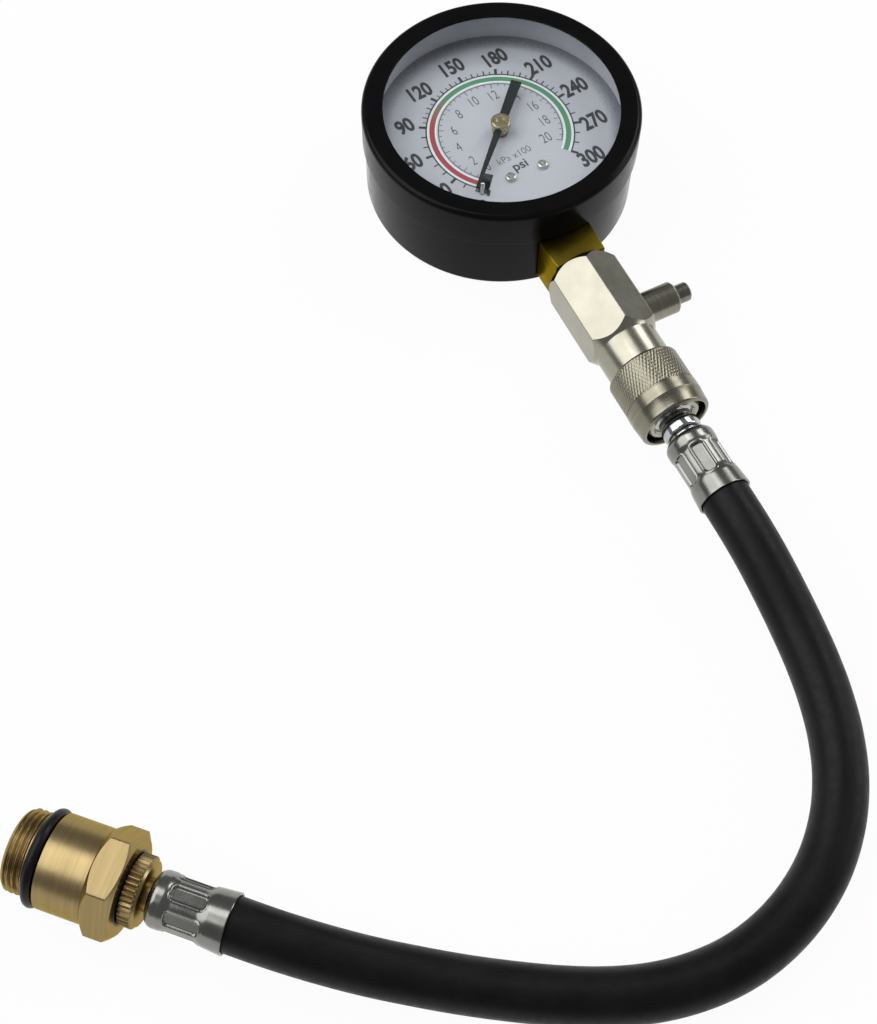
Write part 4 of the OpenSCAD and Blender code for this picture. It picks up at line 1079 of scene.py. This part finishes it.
bevelled("stem_block", "stem_socket", "gauge", "stem_brass", width=0.25)
bevelled("needle", "pointer", "pointer", "pointer_black", width=0.06)
bevelled("needle_hub", "pointer_hub", "pointer", "hub_brass", width=0.1)
bevelled("cross_screws", "dial_screws", "gauge", "screw_steel", width=0.1)
coil("release_coil", "release_spring", "gauge", "release_press")
coil("sleeve_coil", "sleeve_spring", "gauge", "sleeve_slide")
cord_pieces.append(coil("check_valve_coil", "check_valve_spring", "hose_end", "check_valve_slide"))
make_tube()


# Print on the dial: angles run anticlockwise from +X, pressures clockwise from zero

PRINT_LIFT = 0.03
print_turn = math.radians(4.1)
zero_angle = -130
scale_angle = 280
full_psi = 300
full_kpa = 20.684
psi_line = (18.65, 19)
psi_tick_r = 18.8
psi_label_r = 24.2
long_tick, mid_tick, short_tick = 20.7, 20.2, 19.9
kpa_line = (15.6, 15.85)
kpa_tick_r = 15.7
kpa_long_tick, kpa_short_tick = 14.3, 14.9
kpa_label_r = 11.7
kpa_zero_label = 0.55
psi_word_at = (-1.36, -11.6)
kpa_word_at = (-1.07, -8.3)
pale_rings = ((16.1, 16.65), (18, 18.6))
band_ring = (16.65, 18)
zero_block = (13.9, 20.1)
zero_block_angle = math.radians(zero_angle - 4.5)


def psi_angle(value):
    return math.radians(zero_angle - scale_angle * value / full_psi)


def kpa_angle(value):
    return math.radians(zero_angle - scale_angle * value / full_kpa)


class Print:
    """Flat shapes that lie on the dial face and become one piece."""

    def __init__(self):
        self.verts = []
        self.faces = []

    def add(self, points, faces):
        first = len(self.verts)
        turned = Matrix.Rotation(print_turn, 4, "Z")
        self.verts += [turned @ Vector((x, y, dial_top + PRINT_LIFT)) * MM for x, y in points]
        self.faces += [tuple(first + v for v in f) for f in faces]

    def tick(self, angle, inner, outer, width):
        along = Vector((math.cos(angle), math.sin(angle)))
        side = Vector((-along.y, along.x)) * width / 2
        ends = [along * inner - side, along * outer - side, along * outer + side, along * inner + side]
        self.add([tuple(e) for e in ends], [(0, 1, 2, 3)])

    def arc(self, start, end, inner, outer, steps=160):
        points = []
        for k in range(steps + 1):
            a = start + (end - start) * k / steps
            points += [(r * math.cos(a), r * math.sin(a)) for r in (inner, outer)]
        self.add(points, [(2 * k, 2 * k + 1, 2 * k + 3, 2 * k + 2) for k in range(steps)])

    def label(self, words, centre, height, squeeze, weight):
        """Words round a centre point; squeeze narrows them and weight thickens their strokes."""
        curve = bpy.data.curves.new("label", "FONT")
        curve.body = words
        curve.align_x = "CENTER"
        curve.align_y = "CENTER"
        curve.offset = weight
        curve.resolution_u = 5
        text = bpy.data.objects.new("label", curve)
        scene.collection.objects.link(text)
        shown = text.evaluated_get(bpy.context.evaluated_depsgraph_get())
        mesh = bpy.data.meshes.new_from_object(shown)
        tall = 0.73
        points = [(centre[0] + v.co.x * height / tall * squeeze, centre[1] + v.co.y * height / tall)
                  for v in mesh.vertices]
        self.add(points, [tuple(f.vertices) for f in mesh.polygons])
        bpy.data.objects.remove(text)
        bpy.data.curves.remove(curve)
        bpy.data.meshes.remove(mesh)

    def finish(self, name, material):
        return add_piece(name, self.verts, self.faces, "gauge", "dial_white", material=material)


def polar(radius, angle):
    return radius * math.cos(angle), radius * math.sin(angle)


M["ink_black"] = ink("print_black", (0.014, 0.016, 0.018))
M["ink_grey"] = ink("print_grey", (0.06, 0.068, 0.075))
M["ink_pale"] = ink("print_pale", (0.62, 0.68, 0.68))


def band_ink():
    """Colour band that turns from red to green along the scale."""
    finish = Finish("print_band", (0.1, 0.3, 0.16), 0.5)
    split = finish.nodes.new("ShaderNodeSeparateXYZ")
    finish.links.new(finish.coords, split.inputs[0])
    turn_back = finish.nodes.new("ShaderNodeMath")
    turn_back.operation = "ARCTAN2"
    finish.links.new(split.outputs["X"], turn_back.inputs[0])
    finish.links.new(split.outputs["Y"], turn_back.inputs[1])
    half_turn = math.radians(scale_angle / 2)
    spread = finish.nodes.new("ShaderNodeMapRange")
    spread.inputs["From Min"].default_value = -half_turn
    spread.inputs["From Max"].default_value = half_turn
    finish.links.new(turn_back.outputs[0], spread.inputs["Value"])
    finish.vary_color(spread.outputs["Result"], (0.33, 0.035, 0.05), (0.07, 0.24, 0.12), 0.3, 0.42)
    return finish.material


M["ink_band"] = band_ink()


def make_dial_print():
    first, last = psi_angle(0), psi_angle(full_psi)
    black = Print()
    black.arc(first, last, *psi_line)
    for psi in range(0, full_psi + 1, 5):
        if psi % 30 == 0:
            black.tick(psi_angle(psi), psi_tick_r, long_tick, width=0.75)
        elif psi % 10 == 0:
            black.tick(psi_angle(psi), psi_tick_r, mid_tick, width=0.36)
        elif 90 < psi < 240:
            black.tick(psi_angle(psi), psi_tick_r, short_tick, width=0.26)
    for psi in range(0, full_psi + 1, 30):
        spot = polar(psi_label_r, psi_angle(psi))
        black.label(str(psi), spot, height=4.5, squeeze=0.74, weight=0.035)
    black.tick(zero_block_angle, *zero_block, width=2.75)
    black.label("psi", psi_word_at, height=2.8, squeeze=1, weight=0.015)
    black.finish("dial_print_black", "ink_black")

    grey = Print()
    grey.arc(first, kpa_angle(20), *kpa_line)
    for step in range(0, 41):
        inner = kpa_long_tick if step % 4 == 0 else kpa_short_tick
        grey.tick(kpa_angle(step / 2), inner, kpa_tick_r, width=0.2)
    for kpa in range(0, 21, 2):
        spot = polar(kpa_label_r, kpa_angle(max(kpa, kpa_zero_label)))
        grey.label(str(kpa), spot, height=3.2, squeeze=0.66, weight=-0.008)
    grey.label("kPa x100", kpa_word_at, height=2.2, squeeze=0.88, weight=-0.01)
    grey.finish("dial_print_grey", "ink_grey")

    pale = Print()
    for ring in pale_rings:
        pale.arc(first, last, *ring)
    pale.finish("dial_print_pale", "ink_pale")

    band = Print()
    band.arc(first, last, *band_ring)
    band.finish("dial_print_band", "ink_band")


make_dial_print()

[p * MM for p in hose_path]
